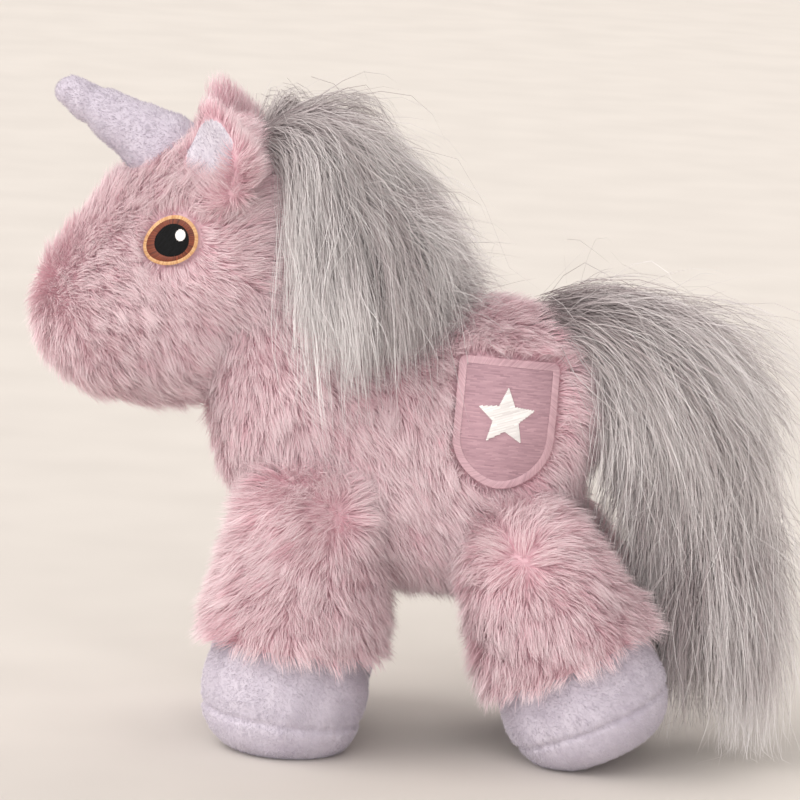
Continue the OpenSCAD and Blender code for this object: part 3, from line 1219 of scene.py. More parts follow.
def stitch(
    soup: Soup,
    plot: Plot,
    ends: np.ndarray,
    thread: float,
    lift: float,
    rng: np.random.Generator,
    arch: float = 0.5,
) -> None:
    """Lays threads on the skin, each an arch from one needle hole to another.

    Args:
        soup: Where the faces go.
        plot: The drawing plane.
        ends: The two holes of each stitch on the plane: stitches by 2 by 2, in millimetres.
        thread: The thread's width in millimetres.
        lift: How far the holes stand above the skin.
        rng: The source of chance.
        arch: How high a stitch rises, as a share of its width.
    """
    count, stations = len(ends), 4
    share = np.linspace(0, 1, stations)
    line = ends[:, :1] + (ends[:, 1:] - ends[:, :1]) * share[None, :, None]
    run = ends[:, 1] - ends[:, 0]
    length = np.maximum(np.linalg.norm(run, axis=1, keepdims=True), 1e-6)
    side = np.column_stack([-run[:, 1], run[:, 0]]) / length * thread * 0.5
    rise = thread * arch * np.array([0.35, 1.0, 1.0, 0.35])
    base = plot.sewn(line.reshape(-1, 2), lift).reshape(count, stations, 3)
    out3 = side[:, :1] * plot.right + side[:, 1:] * plot.up
    left = base - out3[:, None]
    right = base + out3[:, None]
    top = base + plot.out * rise[None, :, None]
    verts = np.stack([left, top, right], axis=2).reshape(-1, 3)
    start = (np.arange(count) * stations * 3)[:, None]
    faces = []
    for k in range(stations - 1):
        for j in range(2):
            a = 3 * k + j
            faces.append(start + [a, a + 1, a + 4, a + 3])
    tone = np.clip(0.5 + 0.22 * rng.normal(size=count), 0, 0.9)
    u = np.repeat(tone[:, None], stations * 3, axis=1) + np.tile([0.0, 0.05, 0.1], stations)
    v = np.broadcast_to(np.repeat(share, 3), u.shape)
    soup.add(verts, faces, np.stack([u, v], axis=2).reshape(-1, 2))


def row_stitches(
    outline: np.ndarray, pitch: float, longest: float, rng: np.random.Generator, angle: float = 0.0
) -> np.ndarray:
    """Rows of running stitches that fill an outline, like brickwork.

    Args:
        outline: The closed outline to fill, in millimetres.
        pitch: Distance from row to row.
        longest: Length of a whole stitch.
        rng: The source of chance.
        angle: How far the rows are turned, in degrees.

    Returns:
        The ends of each stitch: stitches by 2 by 2.
    """
    c, s = math.cos(math.radians(angle)), math.sin(math.radians(angle))
    turn = np.array([[c, s], [-s, c]])
    shape = outline @ turn.T
    nxt = np.roll(shape, -1, axis=0)
    made = []
    for row, y in enumerate(np.arange(shape[:, 1].min() + pitch / 2, shape[:, 1].max(), pitch)):
        hit = (shape[:, 1] > y) != (nxt[:, 1] > y)
        rise = (nxt[:, 1] - shape[:, 1])[hit]
        x = np.sort(shape[hit, 0] + (y - shape[hit, 1]) / rise * (nxt - shape)[hit, 0])
        for low, high in zip(x[::2], x[1::2], strict=False):
            phase = (row % 3) / 3 * longest + rng.uniform(-0.2, 0.2)
            first = math.floor((low - phase) / longest) * longest + phase
            for start in np.arange(first, high, longest):
                a, b = max(start, low), min(start + longest, high)
                if b - a > 0.2:
                    made.append([[a, y], [b, y]])
    return np.array(made) @ turn


def band_stitches(outer: np.ndarray, inner: np.ndarray, slant: int) -> np.ndarray:
    """Satin stitches across a band, from each outer point to an inner one a little further on."""
    return np.stack([outer, np.roll(inner, -slant, axis=0)], axis=1)


class Hemmed(Clearing):
    """A clearing with the shape of an outline sewn on the skin."""

    def __init__(self, plot: Plot, outline: np.ndarray, reach: float, keep: float) -> None:
        """Sets the shape.

        Args:
            plot: The plane that the outline is drawn on.
            outline: The closed outline in millimetres.
            reach: How far beyond it the pile is parted.
            keep: The length that is left at its edge, as a share.
        """
        super().__init__(plot.seat, 0.0, reach, keep)
        self.plot = plot
        self.outline = outline

    def away(self, p: np.ndarray) -> tuple[np.ndarray, np.ndarray]:
        """How far points are outside the outline, and the way out of it."""
        far = np.full(len(p), 1e3)
        out = np.zeros_like(p)
        size = np.abs(self.outline).max() + 2 * self.reach
        flat = self.plot.flat(p)
        near = (np.abs(flat).max(axis=1) < size) & ((p - self.plot.seat) @ self.plot.out > -25)
        if not near.any():
            return far, out
        gap = flat[near][:, None] - self.outline[None]
        apart = np.linalg.norm(gap, axis=2)
        best = np.argmin(apart, axis=1)
        rows = np.arange(len(best))
        within = inside(flat[near], self.outline)
        far[near] = np.where(within, -1.0, apart[rows, best])
        way = gap[rows, best] / np.maximum(apart[rows, best], 1e-6)[:, None]
        out[near] = way[:, :1] * self.plot.right + way[:, 1:] * self.plot.up
        return far, out


# ---------------------------------------------------------------------------------------------
# The toy
# ---------------------------------------------------------------------------------------------


@dataclass
class Workshop:
    """What every part of the toy needs: the finishes and the frame's joints."""

    finishes: Finishes
    joints: dict[str, np.ndarray]

    def put(
        self, obj: bpy.types.Object, body: str, slot: str, nodes: tuple[str, ...] = (),
        fill: float | None = None,
    ) -> bpy.types.Object:
        """Hangs a finished piece on its body and reports it.

        Args:
            obj: The piece.
            body: The body that it moves with.
            slot: The record's material slot. It is not used.
            nodes: The CAD nodes that it stands for.
            fill: How tightly it is stuffed, or None if it isn't. It is not used.

        Returns:
            The piece.
        """
        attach(obj, body)
        if nodes:
            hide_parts(*nodes)
        LOG.info("%s on %s, %d faces", obj.name, body, len(obj.data.polygons))
        return obj


def fur_piece(
    name: str, skin: Skin, pile: Pile, flow: Flow, clearings: list[Clearing],
    material: bpy.types.Material, seed: int,
) -> bpy.types.Object:
    """Makes one cut of pile fabric: its backing and the fibres that stand on it.

    Args:
        name: The piece's name.
        skin: The backing.
        pile: How the fibres stand.
        flow: Which way they lie.
        clearings: Where they are parted.
        material: The pile's material.
        seed: The seed of this piece's chances.

    Returns:
        The piece.
    """
    rng = np.random.default_rng(seed)
    soup = Soup()
    soup.add_skin(skin, rng)
    grow_pile(soup, skin, pile, flow, clearings, rng)
    return soup.piece(name, [material])


def lumpy_filling(name: str, skin: Skin, material: bpy.types.Material, seed: int) -> bpy.types.Object:
    """Makes the filling inside a skin: the same form, smaller and lumpy.

    Args:
        name: The piece's name.
        skin: The closed surface that it fills.
        material: The filling's material.
        seed: Picks the lumps.

    Returns:
        The piece.
    """
    form = skin.grown(-2.6)
    bumps = ripple(form.verts, 9.0, seed)[:, :1] * 0.5 - 0.5
    verts = form.verts + skin.normals * bumps
    soup = Soup()
    low, high = verts.min(axis=0), verts.max(axis=0)
    uvs = ((verts - low) / (high - low))[:, [0, 2]]
    soup.add(verts, [form.tris], uvs)
    return soup.piece(name, [material])


# Where the neck fills the head's skin, and where the head and the legs fill the torso's.
NECK_COVER = [Lump(-42, 0, 143, 30.5), Lump(-46, 0, 164, 27)]
HEAD_COVER = [Lump(-74, 0, 180, 34.5), Lump(-64, 0, 166, 31.5)]
LEG_COVER = [Lump(x, y, z, 21) for x, z in ((-35, 80), (41, 71)) for y in (-32, 32)]


@dataclass
class Head:
    """The head: four cuts of fur round the filling, and what is sewn to it."""

    shop: Workshop
    cranium: Lump = Lump(-74, 0, 180, 34.5)
    muzzle: Lump = Lump(-105, 0, 149.5, 29.5)
    cheek: Lump = Lump(-89, 0, 151, 32.0)
    nape: Lump = Lump(-64, 0, 166, 31.5)
    gusset_half: float = 15.0
    nose_line: float = 18.0
    nose_whorl: tuple[float, float, float] = (-139.0, 0.0, 160.0)
    eye_seat: tuple[float, float, float] = (-87.0, -32.0, 178.0)
    eye_turn: float = 24.0
    eye_size: tuple[float, float] = (20.0, 16.6)
    pupil_size: tuple[float, float] = (12.6, 11.2)
    eye_tilt: float = 27.0
    skin: Skin = field(init=False)

    def build(self) -> None:
        """Makes every piece of the head."""
        self.skin = sewn_form(
            [
                [self.cranium, self.muzzle],
                [self.cranium, self.cheek],
                [self.cheek, self.muzzle],
                [self.cranium, self.nape],
            ],
            2.4,
            6,
        )
        self.skin = Stuffing().swell(
            self.skin.grown(-SLACK), lambda p: np.abs(np.abs(p[:, 1]) - self.gusset_half) < 2.0
        )
        turn = math.radians(self.eye_turn)
        self.plot = Plot(
            np.array(self.eye_seat), np.array([-math.sin(turn), -math.cos(turn), 0.0]), self.skin
        )
        self.sew_fur()
        for side in Side:
            self.embroider_eye(side)
        filling = lumpy_filling(
            "head_loose_filling", self.skin, self.shop.finishes.filling, 301
        )
        self.shop.put(filling, "head", "filling", ("head_filling",), 0.8)

    def clearings(self) -> list[Clearing]:
        """Where the pile is parted on the head: both eyes, the horn and the ears' roots."""
        flip = np.array([1.0, -1.0, 1.0])
        eye = inset(egg_outline(*self.eye_size, self.eye_tilt), 0.3)
        other = Plot(self.plot.seat * flip, self.plot.out * flip, self.skin)
        return [
            Hemmed(self.plot, eye, 6.0, 0.5),
            Hemmed(other, eye * [-1, 1], 6.0, 0.5),
            Clearing(self.shop.joints["horn_flex"], 11.5, 9.0, 0.45),
            Buried(NECK_COVER, 12.0),
        ]

    def sew_fur(self) -> None:
        """Cuts the head's fur into its four panels and grows the pile on each."""
        centres = self.skin.centres
        slope = math.tan(math.radians(self.nose_line))
        above = centres[:, 2] - self.muzzle.z > (centres[:, 0] - self.muzzle.x) * slope
        middle = np.abs(centres[:, 1]) <= self.gusset_half
        flow = Flow(
            (0.85, 0, -0.42),
            [(np.array(self.nose_whorl), 26.0)],
            seed=11,
            above=((0.9, 0.0, 0.55), 158.0, 192.0),
        )
        cuts = [
            ("head_side_left", (centres[:, 1] < 0) & ~middle, "head_panel_left"),
            ("head_side_right", (centres[:, 1] > 0) & ~middle, "head_panel_right"),
            ("head_top_strip", middle & above, "head_gusset"),
            ("head_chin_strip", middle & ~above, "chin_gusset"),
        ]
        for k, (name, keep, node) in enumerate(cuts):
            piece = fur_piece(
                name, self.skin.part(keep), FACE_FUR, flow, self.clearings(),
                self.shop.finishes.pink, 310 + k,
            )
            self.shop.put(piece, "head", "fur_pile", (node,), 0.8)

    def embroider_eye(self, side: Side) -> None:
        """Stitches one eye: a cream rim, a rust ring, a black pupil and a white glint."""
        rng = np.random.default_rng(330 + side.value)
        finishes = self.shop.finishes
        outer = egg_outline(*self.eye_size, self.eye_tilt)
        pupil = egg_outline(*self.pupil_size, self.eye_tilt) + [0.5, 0.1]
        rings = [outer, inset(outer, 1.15), pupil]
        glint = ring_outline(1.95) * [0.92, 1.0] + [3.7, 2.3]
        rim_ends = band_stitches(rings[0], rings[1], 1)
        iris_ends = band_stitches(rings[1], rings[2], 1)
        pupil_ends = row_stitches(rings[2], 0.42, 3.0, rng, 55)
        glint_ends = row_stitches(glint, 0.36, 5.0, rng, 10)
        layers = [
            ("rim", "rim_thread", finishes.rim, None, rim_ends, 0.5, 2.6),
            ("iris", "iris_thread", finishes.iris, rings[1], iris_ends, 0.45, 2.5),
            ("pupil", "pupil_thread", finishes.pupil, rings[2], pupil_ends, 0.5, 2.45),
            ("glint", "white_thread", finishes.white, glint, glint_ends, 0.45, 2.9),
        ]
        for word, slot, material, edge, ends, thread, lift in layers:
            soup = Soup()
            if edge is not None:
                self.back_up(soup, edge, lift)
            stitch(soup, self.plot, ends, thread, lift, rng)
            if side is Side.RIGHT:
                soup.flip()
            name = f"eye_{word}_{side.word}"
            self.shop.put(soup.piece(f"{name}_stitches", [material]), "head", slot, (name,))

    def back_up(self, soup: Soup, edge: np.ndarray, lift: float) -> None:
        """Lays a disc of backing under stitches, so that nothing shows between the threads."""
        hub = edge.mean(axis=0)
        rim = edge[:: max(1, len(edge) // 60)]
        rings = [hub + (rim - hub) * s for s in (0.97, 0.65, 0.33)]
        flat = np.vstack([*rings, hub[None]])
        n = len(rim)
        k = np.arange(n)
        j = (k + 1) % n
        quads = [np.column_stack([a + k, a + j, a + n + j, a + n + k]) for a in (0, n)]
        fan = np.column_stack([2 * n + k, 2 * n + j, np.full(n, 3 * n)])
        uvs = np.column_stack([np.linspace(0.1, 0.4, len(flat)), np.linspace(0, 1, len(flat))])
        soup.add(self.plot.sewn(flat, lift - 0.12), [*quads, fan], uvs)


@dataclass
class Torso:
    """The body and neck: two sides and a belly strip round the filling, and the badge."""

    shop: Workshop
    chest: Lump = Lump(-33, 0, 112, 35.5)
    rump: Lump = Lump(24, 0, 119, 37.5)
    belly_front: Lump = Lump(-24, 0, 93, 33.5)
    belly_rear: Lump = Lump(18, 0, 92, 33.5)
    neck_middle: Lump = Lump(-47, 0, 141, 31)
    neck_top: Lump = Lump(-46, 0, 164, 27)
    dock: Lump = Lump(47, 0, 136, 15)
    belly_half: float = 14.0
    chest_whorl: tuple[float, float, float] = (-72.0, 0.0, 118.0)
    badge_seat: tuple[float, float, float] = (31.0, -38.0, 121.0)
    badge_size: tuple[float, float] = (35.5, 45.0)
    badge_roll: float = -3.0
    skin: Skin = field(init=False)

    def build(self) -> None:
        """Makes every piece of the torso."""
        self.skin = sewn_form(
            [
                [self.chest, self.rump, self.belly_front, self.belly_rear],
                [self.chest, self.neck_middle],
                [self.neck_middle, self.neck_top],
                [self.rump, self.dock],
            ],
            2.4,
            10,
        )
        self.skin = Stuffing().swell(self.skin.grown(-SLACK), lambda p: np.abs(p[:, 1]) < HELD)
        self.plot = Plot(
            np.array(self.badge_seat), np.array([0.05, -1.0, 0.12]), self.skin, self.badge_roll
        )
        self.sew_fur()
        self.embroider_badge()
        finishes = self.shop.finishes
        filling = lumpy_filling("body_loose_filling", self.skin, finishes.filling, 401)
        self.shop.put(filling, "torso", "filling", ("body_filling",), 0.75)
        self.wad_neck()

    def wad_neck(self) -> None:
        """Makes the firm wad that the head turns on."""
        low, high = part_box("neck_wad")
        low, high = np.array(low) / MM, np.array(high) / MM
        foot, head = np.array([low[0] + 15, 0, low[2] + 15]), np.array([high[0] - 15, 0, high[2] - 15])
        lumps = [Lump(*foot, 13.0), Lump(*head, 13.0)]
        skin = sewn_form([lumps], 2.5, 2)
        wad = lumpy_filling("neck_firm_wad", skin, self.shop.finishes.filling, 403)
        self.shop.put(wad, "neck", "filling", ("neck_wad",), 1.0)

    def sew_fur(self) -> None:
        """Cuts the torso's fur into its three panels and grows the pile on each."""
        centres = self.skin.centres
        low, high = (np.array(corner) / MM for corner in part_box("belly_gusset"))
        belly = (
            (np.abs(centres[:, 1]) < self.belly_half)
            & (centres[:, 2] < high[2])
            & (centres[:, 0] > low[0])
            & (centres[:, 0] < high[0])
        )
        flow = Flow((0.62, 0, -0.75), [(np.array(self.chest_whorl), 16.0)], seed=21)
        badge = Hemmed(self.plot, inset(shield_outline(*self.badge_size), 0.5), 4.0, 0.55)
        covered = Buried(HEAD_COVER + LEG_COVER, 9.0)
        cuts = [
            ("body_side_left", (centres[:, 1] < 0) & ~belly, "body_panel_left", [badge, covered]),
            ("body_side_right", (centres[:, 1] >= 0) & ~belly, "body_panel_right", [covered]),
            ("belly_strip", belly, "belly_gusset", [covered]),
        ]
        for k, (name, keep, node, clearings) in enumerate(cuts):
            piece = fur_piece(
                name, self.skin.part(keep), FUR, flow, clearings,
                self.shop.finishes.pink, 410 + k,
            )
            self.shop.put(piece, "torso", "fur_pile", (node,), 0.8)

    def embroider_badge(self) -> None:
        """Stitches the shield: its field in rows, its border across, and a star on top."""
        rng = np.random.default_rng(420)
        finishes = self.shop.finishes
        outer = shield_outline(*self.badge_size)
        inner = inset(outer, 2.4)
        star = star_outline(10.5) + [0.0, 2.5]
        field_soup, border_soup, star_soup = Soup(), Soup(), Soup()
        self.lay_base(field_soup, outer, 2.2)
        rows = row_stitches(inset(outer, 1.6), 0.46, 3.4, rng)
        stitch(field_soup, self.plot, rows, 0.52, 2.3, rng)
        band = band_stitches(even_steps(outer, 420), even_steps(inner, 420), 2)
        stitch(border_soup, self.plot, band, 0.55, 2.6, rng, 0.7)
        stitch(star_soup, self.plot, row_stitches(star, 0.42, 9.0, rng, 20), 0.5, 2.75, rng, 0.6)
        for word, slot, material, soup in (
            ("field", "satin_stitch", finishes.rose, field_soup),
            ("border", "satin_stitch", finishes.plum, border_soup),
            ("star", "white_thread", finishes.white, star_soup),
        ):
            piece = soup.piece(f"badge_{word}_stitches", [material])
            self.shop.put(piece, "torso", slot, (f"badge_{word}",))

    def lay_base(self, soup: Soup, outline: np.ndarray, lift: float) -> None:
        """Lays the twill under the badge: rings of the outline drawn in to a line."""
        rings = [outline * s for s in (1.0, 0.75, 0.5, 0.25, 0.02)]
        flat = np.vstack(rings)
        n = len(outline)
        k = np.arange(n)
        j = (k + 1) % n
        quads = [np.column_stack([a * n + k, a * n + j, (a + 1) * n + j, (a + 1) * n + k]) for a in range(4)]
        uvs = np.column_stack([np.full(len(flat), 0.15), np.linspace(0, 1, len(flat))])
        uvs[:, 0] += np.linspace(0, 0.1, len(flat))
        soup.add(self.plot.sewn(flat, lift), quads, uvs)


@dataclass
class Hoof:
    """A stuffed velour hoof on the end of a leg: a wall, and a sole below a turned-in seam.

    It is drawn with the leg's hinge at the origin and the leg hanging straight down.
    """

    shop: Workshop
    name: str
    body: str
    length: float
    centre_y: float
    hinge: np.ndarray
    lean: float
    seam: float = 13.0
    outline: tuple[tuple[float, float], ...] = (
        (0, 0), (15, 0), (20.5, 1), (24.6, 3.8), (27.2, 8), (28.2, 13),
        (28.5, 18), (28.1, 25), (26.6, 33), (24.5, 40),
    )

    def profile(self, step: float = 0.75) -> np.ndarray:
        """The half outline in even steps, rounded off between its points."""
        points = np.array(self.outline, float)
        far = np.concatenate([[0], np.cumsum(np.linalg.norm(np.diff(points, axis=0), axis=1))])
        want = np.linspace(0, far[-1], int(far[-1] / step))
        run = np.column_stack([np.interp(want, far, points[:, k]) for k in range(2)])
        for _ in range(14):
            run[1:-1] = run[1:-1] * 0.5 + (run[:-2] + run[2:]) * 0.25
        return run

    def skin(self, seed: int) -> Skin:
        """The whole hoof's surface, stuffed and drawn in at its seam."""
        run = self.profile()
        around = 150
        turn = np.linspace(0, 2 * math.pi, around, endpoint=False)
        radius, height = (np.repeat(run[:, k], around) for k in range(2))
        theta = np.tile(turn, len(run))
        near = np.exp(-(((height - self.seam) / 1.1) ** 2))
        wide = np.exp(-(((height - self.seam) / 5.0) ** 2))
        pucker = np.sin(theta * 31 + 1.7 * np.sin(theta * 5 + seed))
        radius = radius - 0.95 * near + 0.22 * pucker * wide
        verts = np.column_stack(
            [
                radius * np.cos(theta),
                self.centre_y + radius * np.sin(theta),
                height - self.length,
            ]
        )
        verts += ripple(verts, 21.0, seed) * 0.55 * smooth_step(3, 12, height)[:, None]
        k = np.arange((len(run) - 1) * around)
        j = (k // around) * around + (k + 1) % around
        tris = np.vstack(
            [np.column_stack([k, j, j + around]), np.column_stack([k, j + around, k + around])]
        )
        rim = height[-1] - self.length
        seam = self.seam - self.length
        return Stuffing(pressure=HOOF_PRESSURE).swell(
            with_normals(verts, tris).grown(-0.5 * SLACK),
            lambda p: (np.abs(p[:, 2] - seam) < HELD) | (p[:, 2] > rim - 4),
        )

    def build(self, side: Side, seed: int) -> None:
        """Makes the wall and the sole.

        Args:
            side: Which side of the animal the hoof is on.
            seed: The seed of its creases and its nap.
        """
        whole = self.skin(seed)
        low = whole.centres[:, 2] + self.length < self.seam
        for word, keep, more in (("wall", ~low, 5), ("sole", low, 4)):
            rng = np.random.default_rng(seed + more)
            cut = whole.part(keep)
            soup = Soup()
            soup.add_skin(cut, rng)
            grow_pile(soup, cut, NAP, Flow((0, 0, -1), swirl=0.9, seed=seed), [], rng, slot=1)
            soup.lean(self.lean)
            soup.press_down(self.hinge)
            soup.stand(side)
            piece = soup.piece(
                f"hoof_{word}_velour_{self.name}",
                [self.shop.finishes.velour, self.shop.finishes.nap],
            )
            self.shop.put(piece, self.body, "velour", (f"hoof_{word}_{self.name}",), 0.9)


@dataclass
class Leg:
    """One leg: an outer and an inner cut of fur over its filling, with a hoof at its end.

    It is drawn on the right side with its hinge at the origin, hanging straight down.
    """

    shop: Workshop
    end: End
    side: Side
    hinge: np.ndarray
    lean: float
    disc_r: float
    hem: float
    whorl: tuple[float, float]
    flattened: float = 1.3
    centre_y: float = 29.5
    sleeve_r: float = 28.0

    @property
    def name(self) -> str:
        """The leg's name as the nodes spell it."""
        return f"{self.end.value}_{self.side.word}"

    @property
    def length(self) -> float:
        """From the hinge down the leg to its sole, so that the hoof presses into the ground."""
        lean = math.radians(abs(self.lean))
        low = max(r * math.sin(lean) - h * math.cos(lean) for r, h in Hoof.outline)
        return (self.hinge[2] + self.flattened - low) / math.cos(lean)

    def build(self) -> None:
        """Makes every piece of the leg."""
        body = f"leg_{self.name}"
        seed = 500 + 40 * (self.end is End.REAR) + 10 * (self.side is Side.RIGHT)
        mid = self.centre_y
        lumps = [
            Lump(0, mid + 3, -1, self.disc_r - 3.5),
            Lump(0, mid - 5, -1, self.disc_r - 5),
            Lump(0, mid, -self.hem + 3, self.sleeve_r),
            Lump(0, mid, -self.hem - 10, self.sleeve_r + 2),
        ]
        whole = sewn_form([lumps], 2.2, 4)
        whole = Stuffing().swell(whole.grown(-SLACK), lambda p: np.abs(p[:, 1] - mid) < HELD)
        sleeve = whole.part(whole.centres[:, 2] > -self.hem + 1.5)
        outer = sleeve.centres[:, 1] > mid
        whorl = np.array([self.whorl[0], mid + self.disc_r, self.whorl[1]])
        flow = Flow((0.0, 0.0, -1.0), [(whorl, 17.0)], swirl=0.5, seed=seed)
        for k, (word, keep) in enumerate((("outer", outer), ("inner", ~outer))):
            rng = np.random.default_rng(seed + k)
            cut = sleeve.part(keep)
            soup = Soup()
            soup.add_skin(cut, rng)
            grow_pile(soup, cut, LEG_FUR, flow, [], rng)
            soup.lean(self.lean)
            soup.shift(self.hinge)
            soup.stand(self.side)
            piece = soup.piece(f"sleeve_{word}_{self.name}", [self.shop.finishes.pink])
            self.shop.put(piece, body, "fur_pile", (f"leg_{word}_{self.name}",), 0.8)
        hoof = Hoof(self.shop, self.name, body, self.length, mid, self.hinge, self.lean)
        hoof.build(self.side, seed + 5)
        self.fill(whole, body, seed)

    def fill(self, whole: Skin, body: str, seed: int) -> None:
        """Makes the leg's filling, which stops just above the hoof's sole."""
        inner = whole.grown(-4.5)
        inner.verts[:, 2] = np.maximum(inner.verts[:, 2], 9 - self.length)
        bumps = ripple(inner.verts, 9.0, seed + 7)[:, :1] * 0.5 - 0.5
        soup = Soup()
        uvs = inner.verts[:, [0, 2]] / 200 + 0.5
        soup.add(inner.verts + inner.normals * bumps, [inner.tris], uvs)
        soup.lean(self.lean)
        soup.shift(self.hinge)
        soup.stand(self.side)
        piece = soup.piece(f"leg_loose_filling_{self.name}", [self.shop.finishes.filling])
        self.shop.put(piece, body, "filling", (f"leg_filling_{self.name}",), 0.8)


@dataclass
class Horn:
    """The horn: a velour cone, stuffed firm, with one soft crease near its tip."""

    shop: Workshop
    rise: float = 31.0
    base_r: float = 13.0
    tip_r: float = 5.3
    length: float = 42.0
    sunk: float = 6.0

    def frame(self) -> np.ndarray:
        """The horn's own axes as rows: across the head, up the face of the cone, along it."""
        a = math.radians(self.rise)
        along = np.array([-math.cos(a), 0.0, math.sin(a)])
        return np.array([[0.0, 1.0, 0.0], np.cross(along, [0.0, 1.0, 0.0]), along])

    def skin(self, inset: float) -> Skin:
        """The cone's surface, drawn in by this many millimetres."""
        around, rows = 96, 74
        along = np.linspace(-self.sunk, self.length, rows)
        shaft = self.length - self.tip_r
        share = np.clip(along / shaft, 0, 1)
        radius = self.base_r + (self.tip_r - self.base_r) * share ** 0.92
        cap = np.clip((along - shaft) / self.tip_r, 0, 1)
        radius = radius * np.sqrt(np.maximum(1 - cap**2, 0.0004)) - inset
        radius = np.maximum(radius, 0.05)
        turn = np.linspace(0, 2 * math.pi, around, endpoint=False)
        r, s = np.repeat(radius, around), np.repeat(along, around)
        theta = np.tile(turn, rows)
        crease = s - 27.0 + 3.2 * np.cos(theta - 0.6)
        r = r - 0.5 * np.exp(-((crease / 2.2) ** 2)) + 0.2 * np.exp(-(((crease - 4) / 3) ** 2))
        crease = s - 12.0 - 2.6 * np.cos(theta + 0.9)
        r = np.maximum(r - 0.25 * np.exp(-((crease / 2.6) ** 2)), 0.05)
        local = np.column_stack([r * np.cos(theta), r * np.sin(theta), s])
        local[:, 1] += 0.0011 * np.clip(s, 0, None) ** 2
        verts = self.shop.joints["horn_flex"] + local @ self.frame()
        verts += ripple(verts, 13.0, 77) * 0.3
        k = np.arange((rows - 1) * around)
        j = (k // around) * around + (k + 1) % around
        tris = np.vstack(
            [np.column_stack([k, j, j + around]), np.column_stack([k, j + around, k + around])]
        )
        return with_normals(verts, tris)

    def build(self) -> None:
        """Makes the cover and the filling."""
        rng = np.random.default_rng(600)
        cover = self.skin(0.0)
        finishes = self.shop.finishes
        soup = Soup()
        soup.add_skin(cover, rng)
        brush = tuple(self.frame()[2])
        grow_pile(soup, cover, NAP, Flow(brush, swirl=0.9, seed=61), [], rng, slot=1)
        piece = soup.piece("horn_velour", [finishes.velour, finishes.nap])
        self.shop.put(piece, "horn", "velour", ("horn_cover",), 0.9)
        filling = lumpy_filling("horn_firm_filling", self.skin(0.5), finishes.filling, 602)
        self.shop.put(filling, "horn", "filling", ("horn_filling",), 0.9)


@dataclass
class Ear:
    """One ear: a cupped leaf, fur outside and velour inside.

    It is drawn on the left with its root at the origin, its lining to -Y and its tip up.
    """

    shop: Workshop
    side: Side
    length: float = 34.0
    half_width: float = 18.0
    root_half: float = 11.0
    set_in: tuple[float, float, float] = (-9.0, 1.5, -8.5)
    turns: tuple[float, float, float] = (-9.0, -12.0, -52.0)

    def leaf(self) -> Skin:
        """The leaf's closed surface, cupped towards its lining."""
        lumps = [
            Lump(0, 0, 3, 4.2),
            Lump(-self.root_half + 2, 0, 5, 3.6),
            Lump(self.root_half - 2, 0, 5, 3.6),
            Lump(-self.half_width + 3.6, 0, self.length * 0.44, 3.6),
            Lump(self.half_width - 3.6, 0, self.length * 0.44, 3.6),
            Lump(0, 0, self.length - 4, 3.4),
            Lump(0, 5.0, self.length * 0.36, 7.5),
        ]
        form = sewn_form([lumps], 1.3, 3)
        x, z = form.verts[:, 0] / self.half_width, form.verts[:, 2] / self.length - 0.5
        bowl = np.clip(1 - x**2 - (1.9 * z) ** 2, 0, 1) * smooth_step(1.0, -3.0, form.verts[:, 1])
        form.verts[:, 1] += 5.0 * bowl - 2.2 * x**2
        return form

    def build(self) -> None:
        """Makes the fur back and the lining."""
        seed = 700 + 10 * (self.side is Side.RIGHT)
        leaf = self.leaf()
        a, b, c = (leaf.verts[leaf.tris[:, k]] for k in range(3))
        facing = unit(np.cross(b - a, c - a))
        spot = leaf.centres
        share = np.clip((spot[:, 2] - 9) / (self.length - 13), 0, 1)
        width = (self.half_width - 4.0) * np.sin(np.pi * share**0.85) ** 0.6
        lined = (facing[:, 1] < -0.25) & (np.abs(spot[:, 0]) < width) & (spot[:, 2] > 9)
        self.dress(leaf.part(~lined), "fur", seed)
        self.dress(leaf.part(lined), "velour", seed + 1)

    def dress(self, cut: Skin, word: str, seed: int) -> None:
        """Gives one side of the leaf its pile and hangs it on the ear's root."""
        finishes = self.shop.finishes
        rng = np.random.default_rng(seed)
        soup = Soup()
        soup.add_skin(cut, rng)
        if word == "fur":
            grow_pile(soup, cut, EAR_FUR, Flow((0, 0, 1.0), swirl=0.5, seed=seed), [], rng)
            materials, slot, node = [finishes.pink], "fur_pile", "ear_back"
        else:
            grow_pile(soup, cut, NAP, Flow((0, 0, 1.0), swirl=0.5, seed=seed), [], rng, slot=1)
            materials, slot, node = [finishes.velour_white, finishes.nap], "velour", "ear_lining"
        soup.turn(self.turns)
        soup.shift(self.shop.joints["ear_fold_left"] + np.array(self.set_in))
        if self.side is Side.RIGHT:
            soup.flip()
        piece = soup.piece(f"{node}_{word}_{self.side.word}", materials)
        self.shop.put(piece, f"ear_{self.side.word}", slot, (f"{node}_{self.side.word}",), 0.5)


@dataclass(frozen=True)
class LongHair:
    """How long pile grows and falls.

    Attributes:
        length: Length of a hair in millimetres.
        spread: How much that varies, as a share.
        weight: How fast a hair bends down, per millimetre.
        frizz: How far hairs stray from their lock, in millimetres.
        lock: The radius of a lock at its root, in millimetres.
        gather: The radius of a lock at its tip, as a share.
        wave: How fast a lock turns aside as it falls, per millimetre.
        width: Width of a hair in millimetres.
        clear: How far hairs keep from the skins under them.
        steps: Straight stretches in a hair.
    """

    length: float
    spread: float
    weight: float
    frizz: float
    lock: float
    gather: float
    wave: float
    width: float = 0.2
    clear: float = 3.5
    steps: int = 6


POLL_HAIR = LongHair(82.0, 0.18, 0.030, 6.0, 5.5, 0.7, 0.038)
CREST_HAIR = LongHair(57.0, 0.2, 0.038, 6.0, 5.5, 0.75, 0.038)
TAIL_HAIR = LongHair(66.0, 0.2, 0.036, 8.5, 8.5, 0.9, 0.018)
